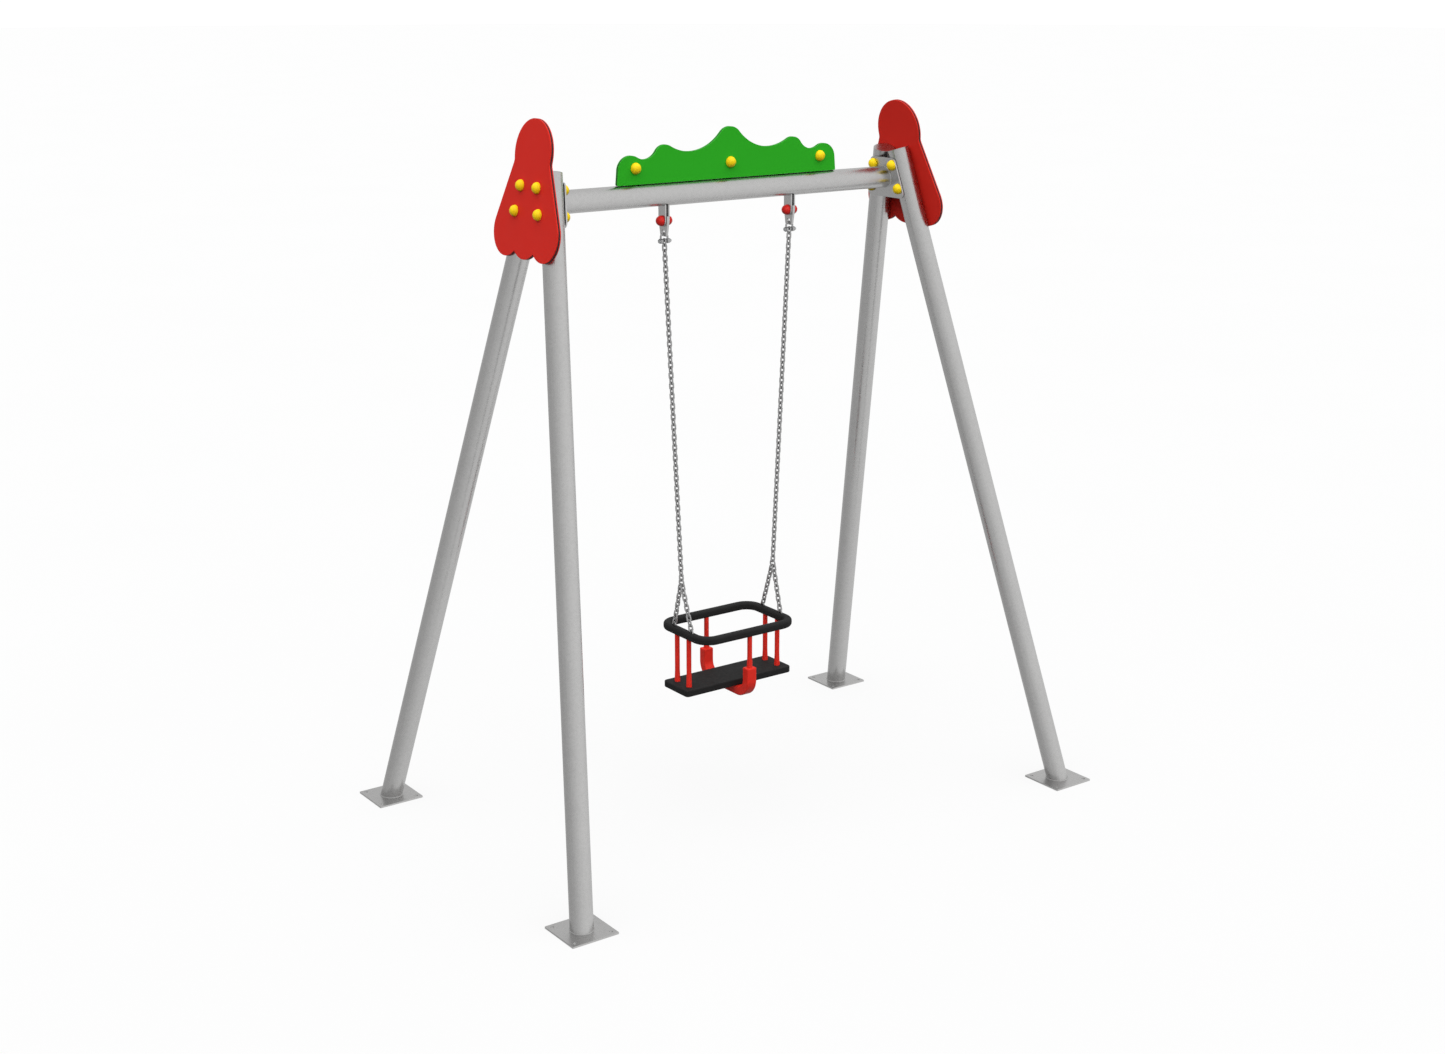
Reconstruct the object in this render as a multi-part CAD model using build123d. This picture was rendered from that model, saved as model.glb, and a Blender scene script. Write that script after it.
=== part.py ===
from build123d import *
import os
from math import asin, atan, cos, hypot, radians, sin, sqrt, tan

# A playground swing with one cradle seat: two leaning A-frames of steel tube, a crossbeam
# bolted between them, and a seat hung on chains from two forks under the beam.
# Millimetres. X runs along the beam, -Y is the front, Z is up, and the origin is on the
# ground midway between the four feet.

# ---------------------------------------------------------------- driving dimensions
# Feet and legs
foot_half_length = 1040.0
foot_half_width = 655.0
foot_plate_size = 170.0
foot_plate_thickness = 6.0
foot_plate_corner = 3.0
foot_hole_spacing = 134.0
foot_hole_radius = 6.0
frame_tilt = 8.0
leg_crossing_rise = 239.03
leg_radius = 38.05
leg_wall = 3.2
leg_top_gap = 1.0
leg_cap_thickness = 3.0

# Crossbeam and its end flanges
beam_height = 2184.0
beam_radius = 38.05
beam_wall = 3.2
flange_thickness = 6.0
flange_top_rise = 76.0
flange_bottom_drop = 66.5
flange_side_margin = 19.0
flange_corner = 18.0

# Bolts that clamp flange, legs and side panels together
frame_bolt_radius = 6.0
bolt_hole_clearance = 0.5
thread_play = 0.05
bolt_head_across = 18.0
bolt_head_height = 7.5
nut_height = 10.0
bolt_end = 3.0
upper_bolt_rise = 50.5
lower_bolt_drop = 32.0

# Yellow plastic caps over the bolt heads and nuts
cap_radius = 19.0
cap_collar = 3.0
cap_rise = 16.0
cap_nut_clearance = 1.0

# Sandwich panels: a dark core between two coloured skins
skin_thickness = 4.0
core_thickness = 5.0

# Side panel outline, measured up the slope of the A-frame
head_radius = 109.0
head_rise = 155.3
flare_angle = 24.2
side_lobe_radius = 83.0
side_lobe_offset = 115.0
side_lobe_drop = 96.7
middle_lobe_radius = 85.0
middle_lobe_drop = 94.7
neck_fillet = 25.0
notch_fillet = 3.0

# Crest panel on top of the beam: bumps as distance from the middle, rise and radius
crest_gap = 1.0
crest_half_length = 454.0
crest_bumps = ((0.0, 172.0, 50.0), (265.0, 125.0, 42.0), (400.0, 96.0, 50.0))
crest_valley_radii = (165.0, 55.0)
crest_corner = 4.0
crest_bolt_offset = 383.0
crest_bolt_rise = 54.0
crest_bolt_head_height = 6.0
crest_nut_height = 8.0
crest_bolt_radius = 5.0
crest_head_across = 16.0
tab_width = 40.0
tab_thickness = 5.0
tab_overhang = 24.0

# Fork under the beam, with the link that turns in it
hanger_offset = 263.0
pivot_drop = 49.0
fork_plate_thickness = 5.0
fork_plate_width = 40.0
pivot_radius = 6.0
pivot_play = 0.05
bush_wall = 2.5
link_thickness = 8.0
link_side_gap = 0.3
link_width = 48.0
link_top = 17.0
link_bottom = 52.0
link_shoulder = 14.0
link_foot_width = 34.0
link_corner = 6.0
link_hole_drop = 37.2
link_hole_radius = 8.0
pivot_cap_radius = 18.0
pivot_cap_collar = 3.0

# Shackle between the link and the chain
shackle_wire_radius = 3.4
shackle_bow_radius = 13.5
shackle_leg = 12.5
shackle_eye_radius = 8.5
shackle_eye_thickness = 8.0
shackle_seat = 0.15
shackle_pin_radius = 4.0
shackle_head_radius = 6.5
shackle_head_height = 4.0
shackle_nut_across = 13.0

# Chains: short links, side by side in two planes
wire_radius = 3.0
link_inner_width = 8.4
chain_pitch = 18.2
chain_play = 0.15
main_chain_count = 66
branch_chain_count = 10
junction_offset = 201.0
junction_ring_inner_radius = 10.0
junction_ring_play = 0.3

# Cradle seat: rubber ring
ring_half_length = 196.0
ring_half_width = 132.7
ring_corner_radius = 52.0
ring_bar = 29.6
ring_edge_radius = 11.0
anchor_spacing = 56.0
anchor_rise = 8.0
anchor_pin_radius = 3.0
anchor_pin_length = 22.0
pocket_clearance = 0.7

# Cradle seat: plank, posts and the strap beneath
seat_depth = 191.0
plank_length = 464.0
plank_width = 150.0
plank_thickness = 24.0
plank_corner = 14.0
plank_edge = 4.0
insert_thickness = 4.0
insert_margin = 12.0
post_radius = 8.8
post_foot_radius = 10.5
post_foot_height = 45.0
post_socket_depth = 6.0
end_post_spacing = 36.2
rod_radius = 4.0
rod_clearance = 0.3
rod_depth_in_ring = 19.0
rod_nut_across = 13.0
rod_nut_height = 6.5
nut_pocket_depth = 9.0
strap_width = 40.0
strap_thickness = 32.0
strap_inner_bend = 36.0
strap_edge = 4.5
boot_rise = 59.4
boot_rod_depth = 30.0
strap_screw_radius = 3.0
strap_screw_head = 6.5
strap_screw_head_height = 4.0
strap_screw_spacing = 45.0
strap_screw_bite = 8.0

# ---------------------------------------------------------------- derived sizes
tilt = radians(frame_tilt)
beam_slope_height = beam_height / cos(tilt)
lean = atan(foot_half_width / (beam_slope_height + leg_crossing_rise))
leg_end = (foot_half_width - leg_radius * cos(lean) - leg_top_gap / 2) / tan(lean)
leg_length = leg_end / cos(lean)
panel_thickness = 2 * skin_thickness + core_thickness
flange_face = leg_radius + flange_thickness
bolt_hole_radius = frame_bolt_radius + bolt_hole_clearance
bolt_rows = (beam_slope_height + upper_bolt_rise, beam_slope_height - lower_bolt_drop)

pivot_height = beam_height - beam_radius - pivot_drop
fork_gap = link_thickness + 2 * link_side_gap
fork_half = fork_gap / 2 + fork_plate_thickness

shackle_wire_low = pivot_height - link_hole_drop - link_hole_radius + shackle_seat
shackle_bow_top = shackle_wire_low + shackle_wire_radius
shackle_pin_height = shackle_bow_top - shackle_bow_radius - shackle_leg

link_inner_length = chain_pitch + chain_play
chain_top = shackle_pin_height + shackle_pin_radius + chain_play
main_chain_length = main_chain_count * chain_pitch + chain_play + wire_radius
main_chain_lean = asin((hanger_offset - junction_offset) / main_chain_length)
junction_height = chain_top - main_chain_length * cos(main_chain_lean)
branch_spread = 2 * wire_radius
junction_ring_radius = junction_ring_inner_radius + wire_radius
junction_ring_height = junction_height + wire_radius + junction_ring_play - junction_ring_inner_radius
branch_top = junction_ring_height - sqrt(junction_ring_radius ** 2 - branch_spread ** 2)

branch_length = branch_chain_count * chain_pitch - link_inner_width / 2 - anchor_pin_radius
branch_run = hypot(junction_offset - ring_half_length, anchor_spacing - branch_spread)
anchor_height = branch_top - sqrt(branch_length ** 2 - branch_run ** 2)
ring_height = anchor_height - anchor_rise
ring_low = ring_height - ring_bar / 2
plank_top = ring_height - seat_depth
plank_low = plank_top - plank_thickness
boot_top = plank_top + boot_rise
rod_end = ring_low + rod_depth_in_ring

nodes = {}


# ---------------------------------------------------------------- shared shapes
def side_plane(side):
    """The leaning plane through both leg axes: x across, y up the slope, z outwards."""
    outwards = (side * cos(tilt), 0, sin(tilt))
    return Plane(origin=(side * foot_half_length, 0, 0), x_dir=(0, side, 0), z_dir=outwards)


def leg_axis(slope_height):
    """Distance of a leg's axis from the middle of its A-frame, up the slope."""
    return foot_half_width - slope_height * tan(lean)


def frame_bolt_points():
    """Where the four bolts of one A-frame cross its plane."""
    return [(across * leg_axis(row), row) for row in bolt_rows for across in (-1, 1)]


def rod(radius, length, start=0.0):
    """A round bar along Z that starts at the given height."""
    return Pos(0, 0, start) * Cylinder(radius, length, align=(Align.CENTER, Align.CENTER, Align.MIN))


def hex_bar(across, height, start=0.0):
    """A six-sided bar along Z."""
    shape = RegularPolygon(radius=across / 2, side_count=6, major_radius=False)
    return extrude(Pos(0, 0, start) * shape, amount=height)


def hex_nut(across, height, bore):
    """A nut that stands on Z = 0."""
    return hex_bar(across, height) - rod(bore, height)


def hex_bolt(radius, length, across, head_height):
    """A bolt whose head stands on Z = 0 and whose shank points down."""
    return rod(radius, length, -length) + hex_bar(across, head_height)


def dome_cap(radius, collar, rise, cavity_radius, cavity_depth):
    """A round cap on Z = 0: a short collar under a dome, hollow where the nut sits."""
    sphere = (radius ** 2 + rise ** 2) / (2 * rise)
    middle = Vector(0, collar + rise - sphere)
    shoulder = Vector(radius, collar)
    crown = Vector(0, collar + rise)
    half_way = middle + ((shoulder - middle) + (crown - middle)).normalized() * sphere
    edges = [
        Line((0, 0), (radius, 0)),
        Line((radius, 0), shoulder),
        ThreePointArc(shoulder, half_way, crown),
        Line(crown, (0, 0)),
    ]
    profile = Plane.XZ * make_face(edges)
    return revolve(profile, axis=Axis.Z) - rod(cavity_radius, cavity_depth)


def nut_cavity(across):
    """Radius of the hollow in a cap that goes over a nut or head of this size."""
    return across / (2 * cos(radians(30))) + cap_nut_clearance


def chain_link():
    """One link standing along Z and lying in the XZ plane."""
    bend = link_inner_width / 2 + wire_radius
    straight = link_inner_length - link_inner_width
    lower = Pos(0, 0, -straight / 2) * revolve(
        Pos(bend, 0, 0) * Circle(wire_radius), axis=Axis.Y, revolution_arc=180
    )
    upper = Rot(0, 180, 0) * lower
    legs = [Pos(x, 0, 0) * Cylinder(wire_radius, straight) for x in (-bend, bend)]
    return lower + upper + legs[0] + legs[1]


def hang_chain(start, direction, count, spacing, last_along_x):
    """Links in a straight row from the inside top of the first, turned a quarter each."""
    link = chain_link()
    width_y = direction.cross(Vector(1, 0, 0)).normalized()
    width_x = direction.cross(width_y).normalized()
    links = []
    for number in range(count):
        centre = start + direction * (number * spacing + link_inner_length / 2)
        like_last = (count - 1 - number) % 2 == 0
        width = width_x if like_last == last_along_x else width_y
        links.append(Plane(origin=centre, x_dir=width, z_dir=-direction).location * link)
    return links


# ---------------------------------------------------------------- feet and legs
def foot_plate(side, end):
    """A square ground plate with four holes."""
    outline = RectangleRounded(foot_plate_size, foot_plate_size, foot_plate_corner)
    plate = extrude(outline, amount=foot_plate_thickness)
    reach = foot_hole_spacing / 2
    for x in (-reach, reach):
        for y in (-reach, reach):
            plate -= Pos(x, y, 0) * rod(foot_hole_radius, foot_plate_thickness)
    return Pos(side * foot_half_length, end * foot_half_width, 0) * plate


def leg_place(side, end):
    """Frame of one leg: the origin at its foot and Z along its axis, in the side plane."""
    across = side * end
    axis = (-across * sin(lean), cos(lean), 0)
    foot = Plane(origin=(across * foot_half_width, 0, 0), x_dir=(0, 0, 1), z_dir=axis)
    return side_plane(side).location * foot.location


def leg_tube(side, end):
    """A tube cut level on its foot plate, with the two bolt holes through it."""
    below = 2 * leg_radius
    length = leg_length - leg_cap_thickness + below
    tube = rod(leg_radius, length, -below) - rod(leg_radius - leg_wall, length, -below)
    tube = leg_place(side, end) * tube
    for row in bolt_rows:
        hole = Pos(side * end * leg_axis(row), row, 0) * Cylinder(bolt_hole_radius, 4 * leg_radius)
        tube -= side_plane(side).location * hole
    ground = Box(9 * leg_radius, 9 * leg_radius, 9 * leg_radius, align=(Align.CENTER, Align.CENTER, Align.MAX))
    return tube - Pos(side * foot_half_length, end * foot_half_width, foot_plate_thickness) * ground


leg_end_caps = []
for side, side_name in ((-1, "left"), (1, "right")):
    for end, end_name in ((-1, "front"), (1, "rear")):
        nodes[f"foot_plate_{end_name}_{side_name}"] = [foot_plate(side, end)]
        nodes[f"leg_tube_{end_name}_{side_name}"] = [leg_tube(side, end)]
        disc = rod(leg_radius, leg_cap_thickness, leg_length - leg_cap_thickness)
        leg_end_caps.append(leg_place(side, end) * disc)
nodes["leg_end_caps"] = leg_end_caps


# ---------------------------------------------------------------- crossbeam and flanges
def beam_flange():
    """The plate that closes the beam and bolts to both legs, in the side plane."""
    low = beam_slope_height - flange_bottom_drop
    high = beam_slope_height + flange_top_rise
    wide = leg_axis(low) + flange_side_margin
    narrow = leg_axis(high) + flange_side_margin
    outline = Polygon((-wide, low), (wide, low), (narrow, high), (-narrow, high), align=None)
    outline = fillet(outline.vertices(), flange_corner)
    for x, y in frame_bolt_points():
        outline -= Pos(x, y) * Circle(bolt_hole_radius)
    return extrude(Pos(0, 0, -flange_face) * outline, amount=flange_thickness)


beam_blank_length = 2 * foot_half_length
beam = Cylinder(beam_radius, beam_blank_length) - Cylinder(beam_radius - beam_wall, beam_blank_length)
beam = Pos(0, 0, beam_height) * Rot(0, 90, 0) * beam
for side, side_name in ((-1, "left"), (1, "right")):
    nodes[f"beam_flange_{side_name}"] = [side_plane(side).location * beam_flange()]
    beyond = Box(
        8 * beam_radius, 8 * beam_radius, foot_half_length, align=(Align.CENTER, Align.CENTER, Align.MIN)
    )
    beam -= side_plane(side).location * Pos(0, beam_slope_height, -flange_face) * beyond
nodes["crossbeam"] = [beam]


# ---------------------------------------------------------------- side panels
def side_panel_outline():
    """Round head, flared sides and three lobes, with holes for the bolts."""
    flare = radians(flare_angle)
    head_height = beam_slope_height + head_rise
    side_lobe_height = beam_slope_height - side_lobe_drop
    touch_x = side_lobe_offset + side_lobe_radius * cos(flare)
    touch_y = side_lobe_height + side_lobe_radius * sin(flare)
    top_x = touch_x - (head_height - touch_y) * tan(flare)
    outline = Polygon(
        (-touch_x, touch_y), (touch_x, touch_y), (top_x, head_height), (-top_x, head_height), align=None
    )
    outline += Pos(0, head_height) * Circle(head_radius)
    for x in (-side_lobe_offset, side_lobe_offset):
        outline += Pos(x, side_lobe_height) * Circle(side_lobe_radius)
    outline += Pos(0, beam_slope_height - middle_lobe_drop) * Circle(middle_lobe_radius)
    notches = [v for v in outline.vertices() if v.Y < side_lobe_height - side_lobe_radius / 2]
    outline = fillet(notches, notch_fillet)
    necks = [v for v in outline.vertices() if touch_y < v.Y < head_height - 1]
    outline = fillet(necks, neck_fillet)
    for x, y in frame_bolt_points():
        outline -= Pos(x, y) * Circle(bolt_hole_radius)
    return outline


panel_outline = side_panel_outline()
panel_layers = (
    ("inner_skin", leg_radius, skin_thickness),
    ("core", leg_radius + skin_thickness, core_thickness),
    ("outer_skin", leg_radius + skin_thickness + core_thickness, skin_thickness),
)
for layer_name, offset, thickness in panel_layers:
    layer = extrude(Pos(0, 0, offset) * panel_outline, amount=thickness)
    for side, side_name in ((-1, "left"), (1, "right")):
        nodes[f"side_panel_{layer_name}_{side_name}"] = [side_plane(side).location * layer]


# ---------------------------------------------------------------- frame bolts and caps
panel_face = leg_radius + panel_thickness
bolt_grip = panel_face + flange_face
frame_bolt = hex_bolt(frame_bolt_radius, bolt_grip + nut_height + bolt_end, bolt_head_across, bolt_head_height)
frame_nut = hex_nut(bolt_head_across, nut_height, frame_bolt_radius + thread_play)
frame_cap = dome_cap(
    cap_radius, cap_collar, cap_rise, nut_cavity(bolt_head_across), nut_height + bolt_end + cap_nut_clearance
)
panel_bolts = []
panel_nuts = []
panel_caps_outer = []
panel_caps_inner = []
for side in (-1, 1):
    for x, y in frame_bolt_points():
        outer_face = side_plane(side).location * Pos(x, y, panel_face)
        inner_face = side_plane(side).location * Pos(x, y, -flange_face) * Rot(180, 0, 0)
        panel_bolts.append(outer_face * frame_bolt)
        panel_nuts.append(inner_face * frame_nut)
        panel_caps_outer.append(outer_face * frame_cap)
        panel_caps_inner.append(inner_face * frame_cap)
nodes["panel_bolts"] = panel_bolts
nodes["panel_nuts"] = panel_nuts
nodes["panel_caps_outer"] = panel_caps_outer
nodes["panel_caps_inner"] = panel_caps_inner


# ---------------------------------------------------------------- crest panel
def arc_through(centre, radius, start, finish):
    """The shorter arc about a centre from one point to another."""
    half_way = centre + ((start - centre) + (finish - centre)).normalized() * radius
    return ThreePointArc(start, half_way, finish)


def valley_centre(left, right, radius):
    """Centre of the hollow of this radius that rests on two neighbouring bumps."""
    reach_left = left[1] + radius
    reach_right = right[1] + radius
    apart = (right[0] - left[0]).length
    along = (reach_left ** 2 - reach_right ** 2 + apart ** 2) / (2 * apart)
    up = sqrt(reach_left ** 2 - along ** 2)
    direction = (right[0] - left[0]).normalized()
    return left[0] + direction * along + Vector(-direction.Y, direction.X) * up


def crest_outline():
    """Five bumps joined by tangent hollows over a straight lower edge; Y is height."""
    low = beam_height + beam_radius + crest_gap
    base = beam_height + beam_radius
    right_half = [(Vector(x, base + rise - radius), radius) for x, rise, radius in crest_bumps]
    left_half = [(Vector(-centre.X, centre.Y), radius) for centre, radius in reversed(right_half[1:])]
    bumps = left_half + right_half
    valleys = list(reversed(crest_valley_radii)) + list(crest_valley_radii)
    edges = []
    start = bumps[0][0] - Vector(bumps[0][1], 0)
    edges.append(Line((-crest_half_length, low), start))
    for number, valley_radius in enumerate(valleys):
        centre, radius = bumps[number]
        next_centre, next_radius = bumps[number + 1]
        hollow = valley_centre(bumps[number], bumps[number + 1], valley_radius)
        leave = centre + (hollow - centre).normalized() * radius
        land = next_centre + (hollow - next_centre).normalized() * next_radius
        edges.append(arc_through(centre, radius, start, leave))
        edges.append(arc_through(hollow, valley_radius, leave, land))
        start = land
    centre, radius = bumps[-1]
    finish = centre + Vector(radius, 0)
    edges.append(arc_through(centre, radius, start, finish))
    edges.append(Line(finish, (crest_half_length, low)))
    edges.append(Line((crest_half_length, low), (-crest_half_length, low)))
    outline = make_face(edges)
    corners = [v for v in outline.vertices() if v.Y < low + 1]
    return fillet(corners, crest_corner)


crest_bolt_height = beam_height + beam_radius + crest_bolt_rise
crest_bolt_places = [(x, crest_bolt_height) for x in (-crest_bolt_offset, 0.0, crest_bolt_offset)]
crest_hole_radius = crest_bolt_radius + bolt_hole_clearance
crest_face = crest_outline()
for x, z in crest_bolt_places:
    crest_face -= Pos(x, z) * Circle(crest_hole_radius)

crest_front = -panel_thickness
crest_layers = (
    ("crest_front_skin", crest_front, skin_thickness),
    ("crest_core", crest_front + skin_thickness, core_thickness),
    ("crest_rear_skin", crest_front + skin_thickness + core_thickness, skin_thickness),
)
for node_name, front, thickness in crest_layers:
    layer = extrude(crest_face, amount=thickness, dir=(0, 0, 1))
    standing = Pos(0, front + thickness, 0) * Rot(90, 0, 0) * layer
    nodes[node_name] = [standing]

crest_tabs = []
crest_bolts = []
crest_nuts = []
crest_caps = []
crest_grip = panel_thickness + tab_thickness
crest_bolt = hex_bolt(
    crest_bolt_radius, crest_grip + crest_nut_height + bolt_end, crest_head_across, crest_bolt_head_height
)
crest_nut = hex_nut(crest_head_across, crest_nut_height, crest_bolt_radius + thread_play)
crest_cap = dome_cap(
    cap_radius,
    cap_collar,
    cap_rise,
    nut_cavity(crest_head_across),
    crest_nut_height + bolt_end + cap_nut_clearance,
)
beam_solid = Pos(0, 0, beam_height) * Rot(0, 90, 0) * Cylinder(beam_radius, beam_blank_length)
for x, z in crest_bolt_places:
    tab_height = z + tab_overhang - beam_height
    tab = RectangleRounded(tab_width, 2 * tab_height, tab_width / 3)
    tab = Rot(90, 0, 0) * extrude(tab, amount=tab_thickness)
    tab = Pos(x, tab_thickness, beam_height) * tab - beam_solid
    tab = tab.solids().sort_by(Axis.Z)[-1]
    bolt_hole = Pos(x, 0, z) * Rot(90, 0, 0) * Cylinder(crest_hole_radius, 4 * tab_thickness)
    crest_tabs.append(tab - bolt_hole)
    front_face = Pos(x, crest_front, z) * Rot(90, 0, 0)
    rear_face = Pos(x, tab_thickness, z) * Rot(-90, 0, 0)
    crest_bolts.append(front_face * crest_bolt)
    crest_nuts.append(rear_face * crest_nut)
    crest_caps.append(front_face * crest_cap)
    crest_caps.append(rear_face * crest_cap)
nodes["crest_tabs"] = crest_tabs
nodes["crest_bolts"] = crest_bolts
nodes["crest_nuts"] = crest_nuts
nodes["crest_caps"] = crest_caps


# ---------------------------------------------------------------- fork, link and pivot
def fork_plate():
    """A flat bar with a round lower end, about the pivot; thickness starts at X = 0."""
    top = pivot_drop + beam_radius
    bar = Pos(0, top / 2) * Rectangle(fork_plate_width, top)
    bar += Circle(fork_plate_width / 2)
    bar -= Circle(pivot_radius + thread_play)
    return Plane.YZ.location * extrude(bar, amount=fork_plate_thickness)


def hanger_link():
    """The flat link that turns on the pivot, tapered below; centred on X = 0."""
    half = link_width / 2
    foot = link_foot_width / 2
    shape = Polygon(
        (half, link_top),
        (-half, link_top),
        (-half, -link_shoulder),
        (-foot, -link_bottom),
        (foot, -link_bottom),
        (half, -link_shoulder),
        align=None,
    )
    shape = fillet(shape.vertices(), link_corner)
    shape -= Circle(pivot_radius + pivot_play + bush_wall)
    shape -= Pos(0, -link_hole_drop) * Circle(link_hole_radius)
    return Plane.YZ.location * extrude(Pos(0, 0, -link_thickness / 2) * shape, amount=link_thickness)


def shackle_bow():
    """A bow over the link hole, with two straight legs that end in eyes; pin on the origin."""
    bow = revolve(Pos(shackle_bow_radius, 0, 0) * Circle(shackle_wire_radius), Axis.Y, revolution_arc=180)
    shackle = Pos(0, 0, shackle_leg) * Rot(0, 180, 0) * bow
    for x in (-shackle_bow_radius, shackle_bow_radius):
        shackle += Pos(x, 0, 0) * rod(shackle_wire_radius, shackle_leg)
        shackle += Pos(x, 0, 0) * Rot(0, 90, 0) * Cylinder(shackle_eye_radius, shackle_eye_thickness)
    pin_hole = Cylinder(shackle_pin_radius + thread_play, 4 * shackle_bow_radius)
    return shackle - Rot(0, 90, 0) * pin_hole


def shackle_pin():
    """The pin through both eyes, its head on the -X side."""
    face = shackle_bow_radius + shackle_eye_thickness / 2
    length = 2 * face + nut_height
    pin = rod(shackle_pin_radius, length, -face)
    pin += rod(shackle_head_radius, shackle_head_height, -face - shackle_head_height)
    return Rot(0, 90, 0) * pin


pivot_bolt = hex_bolt(
    pivot_radius, 2 * fork_half + nut_height + bolt_end, bolt_head_across, bolt_head_height
)
pivot_nut = hex_nut(bolt_head_across, nut_height, pivot_radius + thread_play)
pivot_cap = dome_cap(
    pivot_cap_radius,
    pivot_cap_collar,
    pivot_cap_radius,
    nut_cavity(bolt_head_across),
    nut_height + bolt_end + cap_nut_clearance,
)
bush = Rot(0, 90, 0) * (
    Cylinder(pivot_radius + pivot_play + bush_wall - thread_play, link_thickness)
    - Cylinder(pivot_radius + pivot_play, link_thickness)
)
shackle_nut = hex_nut(shackle_nut_across, nut_height * 0.6, shackle_pin_radius + thread_play)
pivot_bolts = []
pivot_nuts = []
pivot_caps = []
pivot_bushes = []
shackle_pins = []
shackle_nuts = []
for side, side_name in ((-1, "left"), (1, "right")):
    pivot = Pos(side * hanger_offset, 0, pivot_height)
    plates = []
    for x in (-fork_half, fork_half - fork_plate_thickness):
        plates.append(pivot * Pos(x, 0, 0) * fork_plate() - beam_solid)
    nodes[f"hanger_fork_{side_name}"] = plates
    nodes[f"hanger_link_{side_name}"] = [pivot * hanger_link()]
    outer_face = pivot * Pos(side * fork_half, 0, 0) * Rot(0, side * 90, 0)
    inner_face = pivot * Pos(-side * fork_half, 0, 0) * Rot(0, -side * 90, 0)
    pivot_bolts.append(outer_face * pivot_bolt)
    pivot_nuts.append(inner_face * pivot_nut)
    pivot_caps.append(outer_face * pivot_cap)
    pivot_caps.append(inner_face * pivot_cap)
    pivot_bushes.append(pivot * bush)
    pin_place = Pos(side * hanger_offset, 0, shackle_pin_height)
    nodes[f"shackle_bow_{side_name}"] = [pin_place * shackle_bow()]
    shackle_pins.append(pin_place * shackle_pin())
    nut_face = shackle_bow_radius + shackle_eye_thickness / 2
    shackle_nuts.append(pin_place * Pos(nut_face, 0, 0) * Rot(0, 90, 0) * shackle_nut)
nodes["pivot_bolts"] = pivot_bolts
nodes["pivot_nuts"] = pivot_nuts
nodes["pivot_caps"] = pivot_caps
nodes["pivot_bushes"] = pivot_bushes
nodes["shackle_pins"] = shackle_pins
nodes["shackle_nuts"] = shackle_nuts


# ---------------------------------------------------------------- chains
def branch_ends(side, end):
    """Top and bottom of one short chain: the junction ring's wire and the seat ring's pin."""
    top = Vector(side * junction_offset, end * branch_spread, branch_top)
    bottom = Vector(side * ring_half_length, end * anchor_spacing, anchor_height)
    return top, bottom


junction_rings = []
for side, side_name in ((-1, "left"), (1, "right")):
    top = Vector(side * hanger_offset, 0, chain_top)
    down = Vector(-side * sin(main_chain_lean), 0, -cos(main_chain_lean))
    links = hang_chain(top, down, main_chain_count, chain_pitch, last_along_x=True)
    nodes[f"main_chain_{side_name}"] = links
    ring_place = Pos(side * junction_offset, 0, junction_ring_height) * Rot(0, 90, 0)
    junction_rings.append(ring_place * Torus(junction_ring_radius, wire_radius))
    for end, end_name in ((-1, "front"), (1, "rear")):
        top, bottom = branch_ends(side, end)
        down = (bottom - top).normalized()
        inner_span = (bottom - top).length + link_inner_width / 2 + anchor_pin_radius
        spacing = inner_span / branch_chain_count
        start = top - down * (link_inner_width / 2)
        branch = hang_chain(start, down, branch_chain_count, spacing, last_along_x=False)
        nodes[f"branch_chain_{end_name}_{side_name}"] = branch
nodes["junction_rings"] = junction_rings


# ---------------------------------------------------------------- seat ring
def link_pocket(side, end):
    """Room in the ring for the last link of a short chain."""
    top, bottom = branch_ends(side, end)
    down = (bottom - top).normalized()
    across = down.cross(Vector(1, 0, 0)).normalized()
    deep = anchor_pin_radius + 2 * wire_radius + 2 * pocket_clearance
    wide = link_inner_width + 4 * wire_radius + 2 * pocket_clearance
    thick = 2 * wire_radius + 2 * pocket_clearance
    block = Box(wide, thick, deep + ring_bar, align=(Align.CENTER, Align.CENTER, Align.MIN))
    place = Plane(origin=bottom + down * deep, x_dir=across, z_dir=-down)
    return place.location * block


end_posts_at = [(x, y) for x in (-ring_half_length, ring_half_length) for y in (-end_post_spacing, end_post_spacing)]
centre_posts_at = [(0.0, -ring_half_width), (0.0, ring_half_width)]
half_bar = ring_bar / 2
ring_plan = RectangleRounded(
    2 * ring_half_length + ring_bar, 2 * ring_half_width + ring_bar, ring_corner_radius + half_bar
)
ring_plan -= RectangleRounded(
    2 * ring_half_length - ring_bar, 2 * ring_half_width - ring_bar, ring_corner_radius - half_bar
)
ring = extrude(Pos(0, 0, ring_low) * ring_plan, amount=ring_bar)
ring_edges = ring.edges().group_by(Axis.Z)
ring = fillet(ring_edges[0] + ring_edges[-1], ring_edge_radius)
anchor_pins = []
for side in (-1, 1):
    for end in (-1, 1):
        ring -= link_pocket(side, end)
        pin_place = Pos(side * ring_half_length, end * anchor_spacing, anchor_height) * Rot(0, 90, 0)
        ring -= pin_place * Cylinder(anchor_pin_radius + thread_play, anchor_pin_length)
        anchor_pins.append(pin_place * Cylinder(anchor_pin_radius, anchor_pin_length))
for x, y in end_posts_at + centre_posts_at:
    ring -= Pos(x, y, 0) * rod(post_radius + thread_play, post_socket_depth, ring_low)
    ring -= Pos(x, y, 0) * rod(rod_radius + thread_play, rod_depth_in_ring, ring_low)
nodes["seat_ring"] = [ring]
nodes["ring_anchor_pins"] = anchor_pins


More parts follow.
